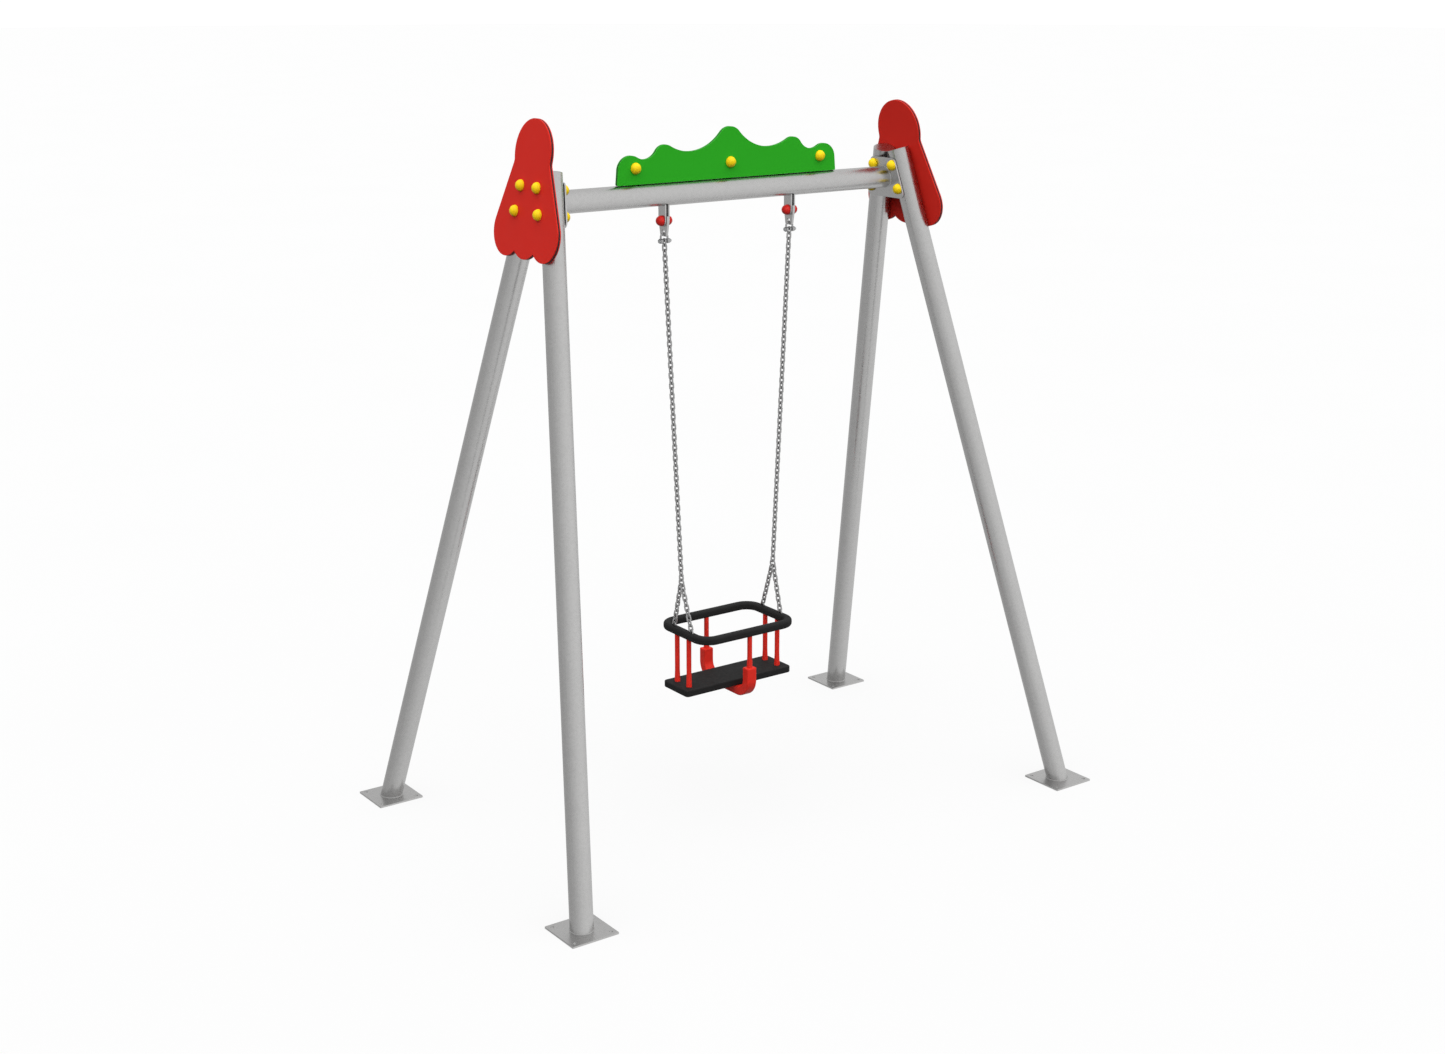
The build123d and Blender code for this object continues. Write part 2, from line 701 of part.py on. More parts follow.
# ---------------------------------------------------------------- plank, posts and strap
def post(low):
    """A plastic sleeve from the given height into the ring, thicker at its foot."""
    top = ring_low + post_socket_depth
    slope_end = low + post_foot_height
    sleeve = rod(post_radius, top - low, low)
    foot = Cone(
        post_foot_radius, post_radius, post_foot_height, align=(Align.CENTER, Align.CENTER, Align.MIN)
    )
    sleeve += Pos(0, 0, slope_end - post_foot_height) * foot
    return sleeve - rod(rod_radius + rod_clearance, top - low, low)


plank = extrude(
    Pos(0, 0, plank_low) * RectangleRounded(plank_length, plank_width, plank_corner), amount=plank_thickness
)
plank_edges = plank.edges().group_by(Axis.Z)
plank = fillet(plank_edges[0] + plank_edges[-1], plank_edge)
insert_low = plank_low + (plank_thickness - insert_thickness) / 2
insert_plan = RectangleRounded(plank_length - 2 * insert_margin, plank_width - 2 * insert_margin, plank_corner)
insert = extrude(Pos(0, 0, insert_low) * insert_plan, amount=insert_thickness)
plank -= insert
rod_hole = rod_radius + rod_clearance
for x, y in end_posts_at:
    plank -= Pos(x, y, 0) * rod(rod_hole, plank_thickness, plank_low)
    plank -= Pos(x, y, 0) * rod(rod_nut_across / 2 + 2 * bolt_hole_clearance + 1, nut_pocket_depth, plank_low)
    insert -= Pos(x, y, 0) * rod(rod_hole, plank_thickness, plank_low)

strap_low = plank_low - strap_thickness
strap_outer_bend = strap_inner_bend + strap_thickness
bend_y = ring_half_width - strap_thickness / 2 - strap_inner_bend
bend_z = plank_low + strap_inner_bend
profile = Pos(0, strap_low + strap_thickness / 2) * Rectangle(2 * bend_y, strap_thickness)
for end in (-1, 1):
    quarter = Circle(strap_outer_bend) - Circle(strap_inner_bend)
    quarter &= Pos(end * strap_outer_bend, -strap_outer_bend) * Rectangle(
        2 * strap_outer_bend, 2 * strap_outer_bend
    )
    profile += Pos(end * bend_y, bend_z) * quarter
    profile += Pos(end * ring_half_width, (bend_z + boot_top) / 2) * Rectangle(strap_thickness, boot_top - bend_z)
strap = Plane.YZ.location * extrude(Pos(0, 0, -strap_width / 2) * profile, amount=strap_width)
strap = fillet(strap.edges().filter_by(lambda edge: edge.length > strap_edge), strap_edge)

strap_screws = []
screw_head_low = strap_low + strap_edge
screw_length = plank_low + strap_screw_bite - screw_head_low
for y in (-strap_screw_spacing, strap_screw_spacing):
    head_hole = rod(strap_screw_head + bolt_hole_clearance, strap_screw_head_height + strap_edge, strap_low)
    shank_hole = rod(strap_screw_radius + thread_play, screw_length, screw_head_low)
    strap -= Pos(0, y, 0) * head_hole
    strap -= Pos(0, y, 0) * shank_hole
    plank -= Pos(0, y, 0) * shank_hole
    screw = rod(strap_screw_head, strap_screw_head_height, screw_head_low)
    screw += rod(strap_screw_radius, screw_length, screw_head_low)
    strap_screws.append(Pos(0, y, 0) * screw)
for x, y in centre_posts_at:
    strap -= Pos(x, y, 0) * rod(rod_radius + thread_play, boot_rod_depth, boot_top - boot_rod_depth)

post_rods = []
rod_nuts = []
rod_low = plank_low + nut_pocket_depth - rod_nut_height
for x, y in end_posts_at:
    post_rods.append(Pos(x, y, 0) * rod(rod_radius, rod_end - rod_low, rod_low))
    rod_nuts.append(Pos(x, y, rod_low) * hex_nut(rod_nut_across, rod_nut_height, rod_radius + thread_play))
for x, y in centre_posts_at:
    start = boot_top - boot_rod_depth
    post_rods.append(Pos(x, y, 0) * rod(rod_radius, rod_end - start, start))
nodes["seat_plank"] = [plank]
nodes["plank_insert"] = [insert]
nodes["end_posts"] = [Pos(x, y, 0) * post(plank_top) for x, y in end_posts_at]
nodes["centre_posts"] = [Pos(x, y, 0) * post(boot_top) for x, y in centre_posts_at]
nodes["seat_strap"] = [strap]
nodes["strap_screws"] = strap_screws
nodes["post_rods"] = post_rods
nodes["rod_nuts"] = rod_nuts

# ---------------------------------------------------------------- one file per node
os.makedirs("parts", exist_ok=True)
for node_name, shapes in nodes.items():
    solids = [solid for shape in shapes for solid in shape.solids()]
    group = solids[0] if len(solids) == 1 else Compound(children=solids)
    group.label = node_name
    export_step(group, f"parts/{node_name}.step")
print(f"{len(nodes)} nodes, junction {junction_height:.1f}, ring {ring_height:.1f}, plank {plank_top:.1f}")
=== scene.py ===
"""Looks of a playground swing: two leaning A-frames, a crossbeam, and one cradle seat on two chains.

Metres, Z up, the beam along X and the front towards -Y, as in the solid part. Every finished piece sits at the
origin with its place in its mesh, and its material reads Object coordinates. A piece is made from the node it
stands for, cleaned and with its edges eased, or by a rule of Geometry Nodes: the chains, the caps and the welds.
"""

import logging
from dataclasses import dataclass, replace
from enum import Enum
from math import asin, cos, pi, radians, sin, sqrt, tan
from typing import Any, Sequence

import bmesh
import bpy
from mathutils import Matrix, Vector


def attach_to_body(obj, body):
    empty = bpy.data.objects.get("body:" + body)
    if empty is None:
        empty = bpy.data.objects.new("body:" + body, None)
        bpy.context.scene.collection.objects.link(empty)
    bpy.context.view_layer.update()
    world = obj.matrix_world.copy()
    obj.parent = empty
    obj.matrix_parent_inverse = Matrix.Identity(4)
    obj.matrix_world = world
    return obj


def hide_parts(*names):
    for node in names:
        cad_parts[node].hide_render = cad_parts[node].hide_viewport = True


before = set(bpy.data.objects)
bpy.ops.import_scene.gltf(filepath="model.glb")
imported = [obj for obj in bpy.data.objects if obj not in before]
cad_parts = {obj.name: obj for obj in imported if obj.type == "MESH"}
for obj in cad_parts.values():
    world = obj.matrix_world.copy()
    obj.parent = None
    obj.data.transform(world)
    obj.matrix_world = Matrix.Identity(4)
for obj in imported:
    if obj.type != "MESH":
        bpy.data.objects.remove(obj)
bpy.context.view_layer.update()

Mesh = bpy.types.Mesh
Piece = bpy.types.Object
Socket = bpy.types.NodeSocket
Triple = tuple[float, float, float]
log = logging.getLogger("swing")

MM = 0.001
# Points nearer than this are one, and faces that bend less than this are one.
MERGE_DISTANCE = 1e-6
FLAT_ANGLE = radians(0.4)
# Edges that bend more than this are sharp, and are rounded with this many faces.
SHARP_ANGLE = radians(35)
ROUNDING_FACES = 2
# Large faces alone decide how a rounded piece is shaded.
FULL_WEIGHT = 100
# The part of a cloud that patterns are stretched over.
CLOUD_LOW, CLOUD_HIGH = 0.3, 0.7
WHITE = (1.0, 1.0, 1.0, 1.0)
X_AXIS = Vector((1.0, 0.0, 0.0))
Z_AXIS = Vector((0.0, 0.0, 1.0))


# ---------------------------------------------------------------- named choices
class Body(Enum):
    """The three rigid bodies of the swing."""

    FRAME = "frame"
    SWING = "swing"
    SEAT = "seat"


class Side(Enum):
    """The left or right end of the swing, with the sign of X there."""

    LEFT = -1
    RIGHT = 1

    @property
    def word(self) -> str:
        """The side's name as node names spell it."""
        return self.name.lower()


class End(Enum):
    """The front or rear of the swing, with the sign of Y there."""

    FRONT = -1
    REAR = 1

    @property
    def word(self) -> str:
        """The end's name as node names spell it."""
        return self.name.lower()


class Slot(Enum):
    """The record's material slots."""

    GALVANISED = "galvanised_steel"
    ZINC = "zinc_fasteners"
    CHAIN = "chain_steel"
    RED_PANEL = "red_panel"
    GREEN_PANEL = "green_panel"
    CORE = "panel_core"
    YELLOW = "yellow_caps"
    RED_CAPS = "red_caps"
    BRONZE = "bronze"
    INSERT = "seat_insert"
    RUBBER = "black_rubber"
    SEAT_PLASTIC = "red_seat_plastic"


# ---------------------------------------------------------------- node helper
class Wiring:
    """Adds nodes to one node tree and joins their sockets."""

    def __init__(self, tree: bpy.types.NodeTree) -> None:
        """Keeps the tree that the nodes go into.

        Args:
            tree: A shader or geometry node tree.
        """
        self.tree = tree

    def add(self, kind: str, feeds: dict[Any, Any] | None = None, **settings: Any) -> bpy.types.Node:
        """Adds a node, sets its options and feeds its inputs.

        Args:
            kind: The node's type name.
            feeds: Input name or number to a value or to another node's socket.
            **settings: Options of the node itself.

        Returns:
            The new node.
        """
        node = self.tree.nodes.new(kind)
        for option, value in settings.items():
            setattr(node, option, value)
        for key, value in (feeds or {}).items():
            self.feed(node.inputs[key], value)
        return node

    def feed(self, socket: Socket, value: Any) -> None:
        """Links a socket to the value if that is a socket, and otherwise stores the value in it.

        Args:
            socket: The input to feed.
            value: A number, a colour, a vector, or another node's output.
        """
        if isinstance(value, Socket):
            self.tree.links.new(value, socket)
        else:
            socket.default_value = value

    def math(self, operation: str, *values: Any) -> Socket:
        """One arithmetic step on numbers or sockets."""
        node = self.add("ShaderNodeMath", dict(enumerate(values)), operation=operation)
        return node.outputs[0]

    def vector(self, x: Any = 0.0, y: Any = 0.0, z: Any = 0.0) -> Socket:
        """A vector from three numbers or sockets."""
        return self.add("ShaderNodeCombineXYZ", {0: x, 1: y, 2: z}).outputs[0]

    def turn(self, angles: Any) -> Socket:
        """A rotation from a vector of angles."""
        return self.add("FunctionNodeEulerToRotation", {0: angles}).outputs[0]

    def places(self) -> Socket:
        """The Object coordinates."""
        return self.add("ShaderNodeTexCoord").outputs["Object"]

    def noise(self, places: Any, scale: float, detail: float) -> Socket:
        """A cloud from 0 to 1."""
        return self.add("ShaderNodeTexNoise", {"Vector": places, "Scale": scale, "Detail": detail}).outputs[0]

    def blend(self, first: Any, first_share: float, second: Any, second_share: float) -> Socket:
        """The sum of two patterns, each times its share."""
        return self.math("MULTIPLY_ADD", first, first_share, self.math("MULTIPLY", second, second_share))

    def between(self, amount: Any, low: Sequence[float], high: Sequence[float]) -> Socket:
        """A colour between two others.

        Args:
            amount: Cloud that picks the colour.
            low: Colour with alpha where the cloud is low.
            high: Colour with alpha where the cloud is high.

        Returns:
            A colour socket.
        """
        ramp = self.add("ShaderNodeValToRGB", {0: amount})
        first, last = ramp.color_ramp.elements
        first.position, last.position = CLOUD_LOW, CLOUD_HIGH
        first.color, last.color = low, high
        return ramp.outputs[0]

    def spread(self, amount: Any, low: float, high: float) -> Socket:
        """Stretches the middle of a cloud over a range of numbers."""
        feeds = {"Value": amount, "From Min": CLOUD_LOW, "From Max": CLOUD_HIGH, "To Min": low, "To Max": high}
        return self.add("ShaderNodeMapRange", feeds).outputs[0]

    def bump(self, height: Any, depth: float, under: Any = None) -> Socket:
        """A normal from a height pattern.

        Args:
            height: Pattern from 0 to 1.
            depth: Height of the pattern in metres.
            under: A normal that this bump is laid on.

        Returns:
            A normal socket.
        """
        feeds = {"Strength": 1.0, "Distance": depth, "Height": height}
        if under is not None:
            feeds["Normal"] = under
        return self.add("ShaderNodeBump", feeds).outputs[0]


def blank(holder: bpy.types.Material | bpy.types.World) -> Wiring:
    """Empties the shader tree of a material or a world.

    Args:
        holder: The material or the world.

    Returns:
        The wiring of its tree.
    """
    holder.use_nodes = True
    holder.node_tree.nodes.clear()
    return Wiring(holder.node_tree)


# ---------------------------------------------------------------- finishes
@dataclass(frozen=True)
class Finish:
    """A material on Object coordinates: a shade that drifts, a fine grain, and a bump.

    Attributes:
        name: Name of the finish.
        slot: The slot meant for pieces with this finish; not used.
        shade: Linear base colour.
        drift: Share by which the colour drifts across the piece.
        drift_scale: How many drifts fit in a metre.
        speck_share: Weight of the fine specks beside the drift.
        grain_scale: How many grains fit in a metre.
        grain_height: Depth of the grain in metres.
        roughness: Middle roughness.
        roughness_spread: How far the roughness strays from the middle.
        patch_ratio: How many patches of roughness fit in a drift.
        metallic: 1 for metal.
        reflectance: Specular level of the surface.
    """

    name: str
    slot: Slot
    shade: Triple
    drift: float = 0.05
    drift_scale: float = 6.0
    speck_share: float = 0.35
    grain_scale: float = 700.0
    grain_height: float = 0.00005
    roughness: float = 0.45
    roughness_spread: float = 0.06
    patch_ratio: float = 3.7
    metallic: float = 0.0
    reflectance: float = 0.35

    def material(self) -> bpy.types.Material:
        """The finish's material, made once.

        Returns:
            The material.
        """
        name = f"{self.name}_finish"
        known = bpy.data.materials.get(name)
        if known:
            return known
        material = bpy.data.materials.new(name)
        wiring = blank(material)
        places = wiring.places()
        constants = {"Metallic": self.metallic, "Specular IOR Level": self.reflectance}
        shader = wiring.add("ShaderNodeBsdfPrincipled", constants)
        wiring.feed(shader.inputs["Base Color"], self.colour(wiring, places))
        wiring.feed(shader.inputs["Roughness"], self.gloss(wiring, places))
        wiring.feed(shader.inputs["Normal"], self.relief(wiring, places))
        wiring.add("ShaderNodeOutputMaterial", {"Surface": shader.outputs[0]})
        return material

    def colour(self, wiring: Wiring, places: Socket) -> Socket:
        """The base colour: the shade, a little darker and lighter by turns.

        Args:
            wiring: The material's tree.
            places: Object coordinates.

        Returns:
            A colour socket.
        """
        cloud = wiring.noise(places, self.drift_scale, detail=3.0)
        speck = wiring.noise(places, self.grain_scale, detail=1.0)
        amount = wiring.blend(speck, self.speck_share, cloud, 1 - self.speck_share)
        return self.shaded(wiring, amount, self.drift)

    def gloss(self, wiring: Wiring, places: Socket) -> Socket:
        """The roughness, in broad patches."""
        patches = wiring.noise(places, self.patch_ratio * self.drift_scale, detail=2.0)
        return self.dulled(wiring, patches)

    def relief(self, wiring: Wiring, places: Socket) -> Socket:
        """The bump of the fine grain."""
        return wiring.bump(wiring.noise(places, self.grain_scale, detail=2.0), self.grain_height)

    def shaded(self, wiring: Wiring, amount: Socket, reach: float) -> Socket:
        """Stretches a pattern from the shade made darker to the shade made lighter by a share."""
        return wiring.between(amount, self.tint(1 - reach), self.tint(1 + reach))

    def dulled(self, wiring: Wiring, amount: Socket) -> Socket:
        """Stretches a pattern over the roughness of the finish."""
        return wiring.spread(amount, self.roughness - self.roughness_spread, self.roughness + self.roughness_spread)

    def tint(self, share: float) -> tuple[float, float, float, float]:
        """The shade multiplied by a share, with alpha."""
        red, green, blue = (min(1.0, part * share) for part in self.shade)
        return (red, green, blue, 1.0)


@dataclass(frozen=True)
class ZincCoat(Finish):
    """Hot-dip zinc: crystals a few millimetres across, each with its own shade and gloss.

    Attributes:
        crystals: How many crystals fit in a metre.
        crystal_share: How far a crystal's shade strays.
        crystal_gloss: Weight of the crystals in the gloss.
        warp_scale: How many bends of the crystals' edges fit in a metre.
        warp_reach: How far those edges bend, in metres.
    """

    crystals: float = 130.0
    crystal_share: float = 0.05
    crystal_gloss: float = 0.4
    warp_scale: float = 60.0
    warp_reach: float = 6 * MM
    patch_ratio: float = 2.3

    def crystal(self, wiring: Wiring, places: Socket) -> Socket:
        """The crystals.

        Args:
            wiring: The material's tree.
            places: Object coordinates.

        Returns:
            A number from 0 to 1 that is constant inside each crystal.
        """
        warp = wiring.add("ShaderNodeTexNoise", {"Vector": places, "Scale": self.warp_scale, "Detail": 1.0})
        feeds = {0: warp.outputs[1], 1: (self.warp_reach,) * 3, 2: places}
        bent = wiring.add("ShaderNodeVectorMath", feeds, operation="MULTIPLY_ADD")
        cells = wiring.add("ShaderNodeTexVoronoi", {"Vector": bent.outputs[0], "Scale": self.crystals})
        return wiring.add("ShaderNodeSeparateColor", {0: cells.outputs["Color"]}).outputs[0]

    def colour(self, wiring: Wiring, places: Socket) -> Socket:
        """Zinc grey with a slow drift and faint crystals.

        Args:
            wiring: The material's tree.
            places: Object coordinates.

        Returns:
            A colour socket.
        """
        crystal = self.crystal(wiring, places)
        cloud = wiring.noise(places, self.drift_scale, detail=3.0)
        reach = self.crystal_share + self.drift
        share = self.crystal_share / reach
        return self.shaded(wiring, wiring.blend(crystal, share, cloud, 1 - share), reach)

    def gloss(self, wiring: Wiring, places: Socket) -> Socket:
        """Crystals that differ a little in gloss, under slow dull patches.

        Args:
            wiring: The material's tree.
            places: Object coordinates.

        Returns:
            A roughness socket.
        """
        crystal = self.crystal(wiring, places)
        cloud = wiring.noise(places, self.patch_ratio * self.drift_scale, detail=3.0)
        return self.dulled(wiring, wiring.blend(crystal, self.crystal_gloss, cloud, 1 - self.crystal_gloss))


@dataclass(frozen=True)
class SawnCore(Finish):
    """The dark layer between two skins, with fine saw lines across its cut edge.

    Attributes:
        saw_lines: How closely the saw lines lie.
        saw_waver: How far they waver.
    """

    saw_lines: float = 400.0
    saw_waver: float = 1.5

    def relief(self, wiring: Wiring, places: Socket) -> Socket:
        """Saw lines laid over the grain.

        Args:
            wiring: The material's tree.
            places: Object coordinates.

        Returns:
            A normal socket.
        """
        grain = super().relief(wiring, places)
        feeds = {"Vector": places, "Scale": self.saw_lines, "Distortion": self.saw_waver, "Detail": 1.0}
        lines = wiring.add("ShaderNodeTexWave", feeds, bands_direction="DIAGONAL")
        return wiring.bump(lines.outputs[1], self.grain_height, grain)


@dataclass(frozen=True)
class MouldedRubber(Finish):
    """Rubber from a spark-eroded mould: a pebbled grain with a few dusty patches.

    Attributes:
        pebble_share: Weight of the pebbles in the shade.
        dust_share: Weight of the dust in the shade.
        wave_scale: How many slow waves fit in a metre.
        wave_ratio: Height of those waves in heights of the grain.
    """

    pebble_share: float = 0.5
    dust_share: float = 0.6
    wave_scale: float = 40.0
    wave_ratio: float = 4.0

    def pebbles(self, wiring: Wiring, places: Socket) -> Socket:
        """The pebbles, highest between their middles."""
        cells = wiring.add("ShaderNodeTexVoronoi", {"Vector": places, "Scale": self.grain_scale})
        return cells.outputs["Distance"]

    def colour(self, wiring: Wiring, places: Socket) -> Socket:
        """Black with lighter specks where the pebbles stand proud.

        Args:
            wiring: The material's tree.
            places: Object coordinates.

        Returns:
            A colour socket.
        """
        pebbles = self.pebbles(wiring, places)
        dust = wiring.noise(places, self.drift_scale, detail=4.0)
        return self.shaded(wiring, wiring.blend(pebbles, self.pebble_share, dust, self.dust_share), self.drift)

    def relief(self, wiring: Wiring, places: Socket) -> Socket:
        """Pebbles over a slow waviness.

        Args:
            wiring: The material's tree.
            places: Object coordinates.

        Returns:
            A normal socket.
        """
        pebbles = self.pebbles(wiring, places)
        slow = wiring.noise(places, self.wave_scale, detail=2.0)
        waves = wiring.bump(slow, self.wave_ratio * self.grain_height)
        return wiring.bump(pebbles, self.grain_height, waves)


GALVANISED = ZincCoat(
    "galvanised", Slot.GALVANISED, (0.53, 0.527, 0.523), drift=0.02, drift_scale=5.0, crystals=160.0,
    crystal_share=0.015, grain_scale=1400.0, grain_height=0.000006, roughness=0.29, roughness_spread=0.03,
    metallic=1.0,
)
CHAIN_STEEL = ZincCoat(
    "chain_steel", Slot.CHAIN, (0.42, 0.42, 0.42), drift=0.05, drift_scale=60.0, crystals=500.0,
    crystal_share=0.03, grain_scale=1500.0, grain_height=0.00001, roughness=0.27, roughness_spread=0.05,
    metallic=1.0,
)
BRIGHT_ZINC = Finish(
    "bright_zinc", Slot.ZINC, (0.45, 0.455, 0.46), drift=0.04, drift_scale=90.0, grain_scale=1800.0,
    grain_height=0.00001, roughness=0.27, metallic=1.0,
)
RED_SKIN = Finish(
    "red_panel", Slot.RED_PANEL, (0.56, 0.02, 0.013), drift=0.02, drift_scale=5.0, grain_scale=1100.0,
    grain_height=0.00002, roughness_spread=0.03, reflectance=0.08,
)
GREEN_SKIN = replace(RED_SKIN, name="green_panel", slot=Slot.GREEN_PANEL, shade=(0.022, 0.34, 0.014))
BLACK_CORE = SawnCore(
    "panel_core", Slot.CORE, (0.012, 0.012, 0.013), drift=0.15, drift_scale=30.0, grain_scale=900.0,
    roughness=0.6, reflectance=0.2,
)
YELLOW_CAP = Finish(
    "yellow_cap", Slot.YELLOW, (0.78, 0.55, 0.007), drift=0.015, drift_scale=40.0, grain_scale=1600.0,
    grain_height=0.00001, roughness=0.36, roughness_spread=0.03, reflectance=0.14,
)
RED_CAP = replace(YELLOW_CAP, name="red_cap", slot=Slot.RED_CAPS, shade=(0.56, 0.014, 0.01), reflectance=0.25)
BRONZE = Finish(
    "bronze", Slot.BRONZE, (0.5, 0.3, 0.13), drift=0.12, drift_scale=80.0, grain_scale=1500.0, roughness=0.35,
    metallic=1.0,
)
INSERT_METAL = Finish(
    "seat_insert", Slot.INSERT, (0.6, 0.61, 0.62), drift=0.06, drift_scale=20.0, grain_scale=1200.0,
    roughness=0.4, metallic=1.0,
)
RUBBER = MouldedRubber(
    "black_rubber", Slot.RUBBER, (0.0115, 0.0115, 0.0115), drift=0.18, drift_scale=25.0, grain_scale=900.0,
    grain_height=0.0001, roughness=0.7, reflectance=0.1,
)
SEAT_RED = Finish(
    "seat_plastic", Slot.SEAT_PLASTIC, (0.6, 0.024, 0.015), drift=0.03, drift_scale=20.0, grain_scale=900.0,
    roughness=0.42, roughness_spread=0.04, reflectance=0.12,
)


# ---------------------------------------------------------------- mesh helpers
def piece_from(name: str, mesh: Mesh) -> Piece:
    """An object at the origin that shows a mesh.

    Args:
        name: Name of the piece.
        mesh: Its mesh, with the place in it.

    Returns:
        The new object.
    """
    mesh.name = name
    piece = bpy.data.objects.new(name, mesh)
    bpy.context.scene.collection.objects.link(piece)
    return piece


def stored(name: str, work: bmesh.types.BMesh) -> Mesh:
    """Stores a mesh that was being worked on, and frees the work.

    Args:
        name: Name of the mesh.
        work: The mesh being worked on.

    Returns:
        The mesh.
    """
    mesh = bpy.data.meshes.new(name)
    work.to_mesh(mesh)
    work.free()
    return mesh


def bake(piece: Piece) -> Piece:
    """Turns the result of a piece's modifiers into its plain mesh and removes them.

    Args:
        piece: An object with modifiers.

    Returns:
        The same object.
    """
    graph = bpy.context.evaluated_depsgraph_get()
    shown = piece.evaluated_get(graph)
    result = bpy.data.meshes.new_from_object(shown, preserve_all_data_layers=True, depsgraph=graph)
    result.name = piece.name
    piece.modifiers.clear()
    piece.data = result
    return piece


def refined(name: str, node: str, rounding: float = 0.0) -> Piece:
    """A copy of a node's mesh with clean faces, small rounded edges and smooth shading.

    Args:
        name: Name of the piece.
        node: The node it is copied from.
        rounding: Width of the rounding on sharp edges, in metres.

    Returns:
        The piece.
    """
    work = bmesh.new()
    work.from_mesh(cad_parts[node].data)
    bmesh.ops.remove_doubles(work, verts=work.verts, dist=MERGE_DISTANCE)
    bmesh.ops.dissolve_limit(work, angle_limit=FLAT_ANGLE, verts=work.verts, edges=work.edges)
    for face in work.faces:
        face.smooth = True
        face.material_index = 0
    mesh = stored(name, work)
    mesh.set_sharp_from_angle(angle=SHARP_ANGLE)
    piece = piece_from(name, mesh)
    if rounding:
        edges = piece.modifiers.new("edges", "BEVEL")
        edges.width = rounding
        edges.segments = ROUNDING_FACES
        edges.limit_method = "ANGLE"
        edges.angle_limit = SHARP_ANGLE
    shading = piece.modifiers.new("flat_faces_stay_flat", "WEIGHTED_NORMAL")
    shading.weight = FULL_WEIGHT
    shading.keep_sharp = not rounding
    return bake(piece)


def attach(piece: Piece, body: Body, finish: Finish, stands_for: str = "") -> None:
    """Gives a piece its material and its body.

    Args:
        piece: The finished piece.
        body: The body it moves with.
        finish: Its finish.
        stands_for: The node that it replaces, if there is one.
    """
    piece.data.materials.clear()
    piece.data.materials.append(finish.material())
    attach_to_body(piece, body.value)
    if stands_for:
        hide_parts(stands_for)
    log.info("%s: %d faces on %s", piece.name, len(piece.data.polygons), body.value)


def clad(name: str, node: str, body: Body, finish: Finish, rounding: float = 0.0) -> None:
    """Makes the piece that stands for a node from the node's own mesh.

    Args:
        name: Name of the piece.
        node: The node it is made from and stands for.
        body: The body it moves with.
        finish: Its finish.
        rounding: Width of the rounding on sharp edges, in metres.
    """
    attach(refined(name, node, rounding), body, finish, node)


def dress(finish: Finish, *nodes: str) -> None:
    """Gives nodes that stay a finish of their own.

    Args:
        finish: The finish.
        *nodes: Names of the nodes.
    """
    for node in nodes:
        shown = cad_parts[node]
        if not shown.material_slots:
            shown.data.materials.append(None)
        for place in shown.material_slots:
            place.material = finish.material()
        log.info("%s: dressed as %s", node, finish.name)


# ---------------------------------------------------------------- rules made with geometry nodes
class Rule:
    """A geometry node tree with named inputs, and the objects it makes."""

    def __init__(self, name: str, inputs: dict[str, tuple[str, Any]]) -> None:
        """Makes the tree and its named inputs.

        Args:
            name: Name of the tree.
            inputs: Input name to its socket type and first value.
        """
        self.tree = bpy.data.node_groups.new(name, "GeometryNodeTree")
        self.wiring = Wiring(self.tree)
        self.sockets: dict[str, str] = {}
        face = self.tree.interface
        face.new_socket("Geometry", in_out="INPUT", socket_type="NodeSocketGeometry")
        for label, (kind, value) in inputs.items():
            socket = face.new_socket(label, in_out="INPUT", socket_type="NodeSocket" + kind)
            if value is not None:
                socket.default_value = value
            self.sockets[label] = socket.identifier
        face.new_socket("Geometry", in_out="OUTPUT", socket_type="NodeSocketGeometry")
        self.given = self.wiring.add("NodeGroupInput")

    def get(self, label: str) -> Socket:
        """The socket that gives a named input inside the tree."""
        return self.given.outputs[label]

    def finish(self, geometry: Socket) -> None:
        """Ends the tree: instances become a plain smooth mesh in the material that is given.

        Args:
            geometry: What the tree has made.
        """
        real = self.wiring.add("GeometryNodeRealizeInstances", {0: geometry})
        smooth = self.wiring.add("GeometryNodeSetShadeSmooth", {0: real.outputs[0]})
        feeds = {"Geometry": smooth.outputs[0], "Material": self.get("Material")}
        dressed = self.wiring.add("GeometryNodeSetMaterial", feeds)
        self.wiring.add("NodeGroupOutput", {0: dressed.outputs[0]})

    def make(self, name: str, mesh: Mesh, finish: Finish, **values: Any) -> Piece:
        """Runs the tree on a mesh and keeps the result as a plain mesh.

        Args:
            name: Name of the piece.
            mesh: The mesh that the tree starts from.
            finish: The finish of the piece.
            **values: Values of the named inputs, with _ for a space.

        Returns:
            The piece, with outward faces.
        """
        piece = piece_from(name, mesh)
        modifier = piece.modifiers.new("rule", "NODES")
        modifier.node_group = self.tree
        modifier[self.sockets["Material"]] = finish.material()
        for label, value in values.items():
            modifier[self.sockets[label.replace("_", " ")]] = value
        bake(piece)
        face_outwards(piece.data)
        return piece


def face_outwards(mesh: Mesh) -> None:
    """Turns every closed shell of a mesh so that its faces point outwards.

    Args:
        mesh: The mesh to turn.
    """
    work = bmesh.new()
    work.from_mesh(mesh)
    bmesh.ops.recalc_face_normals(work, faces=work.faces)
    work.to_mesh(mesh)
    work.free()


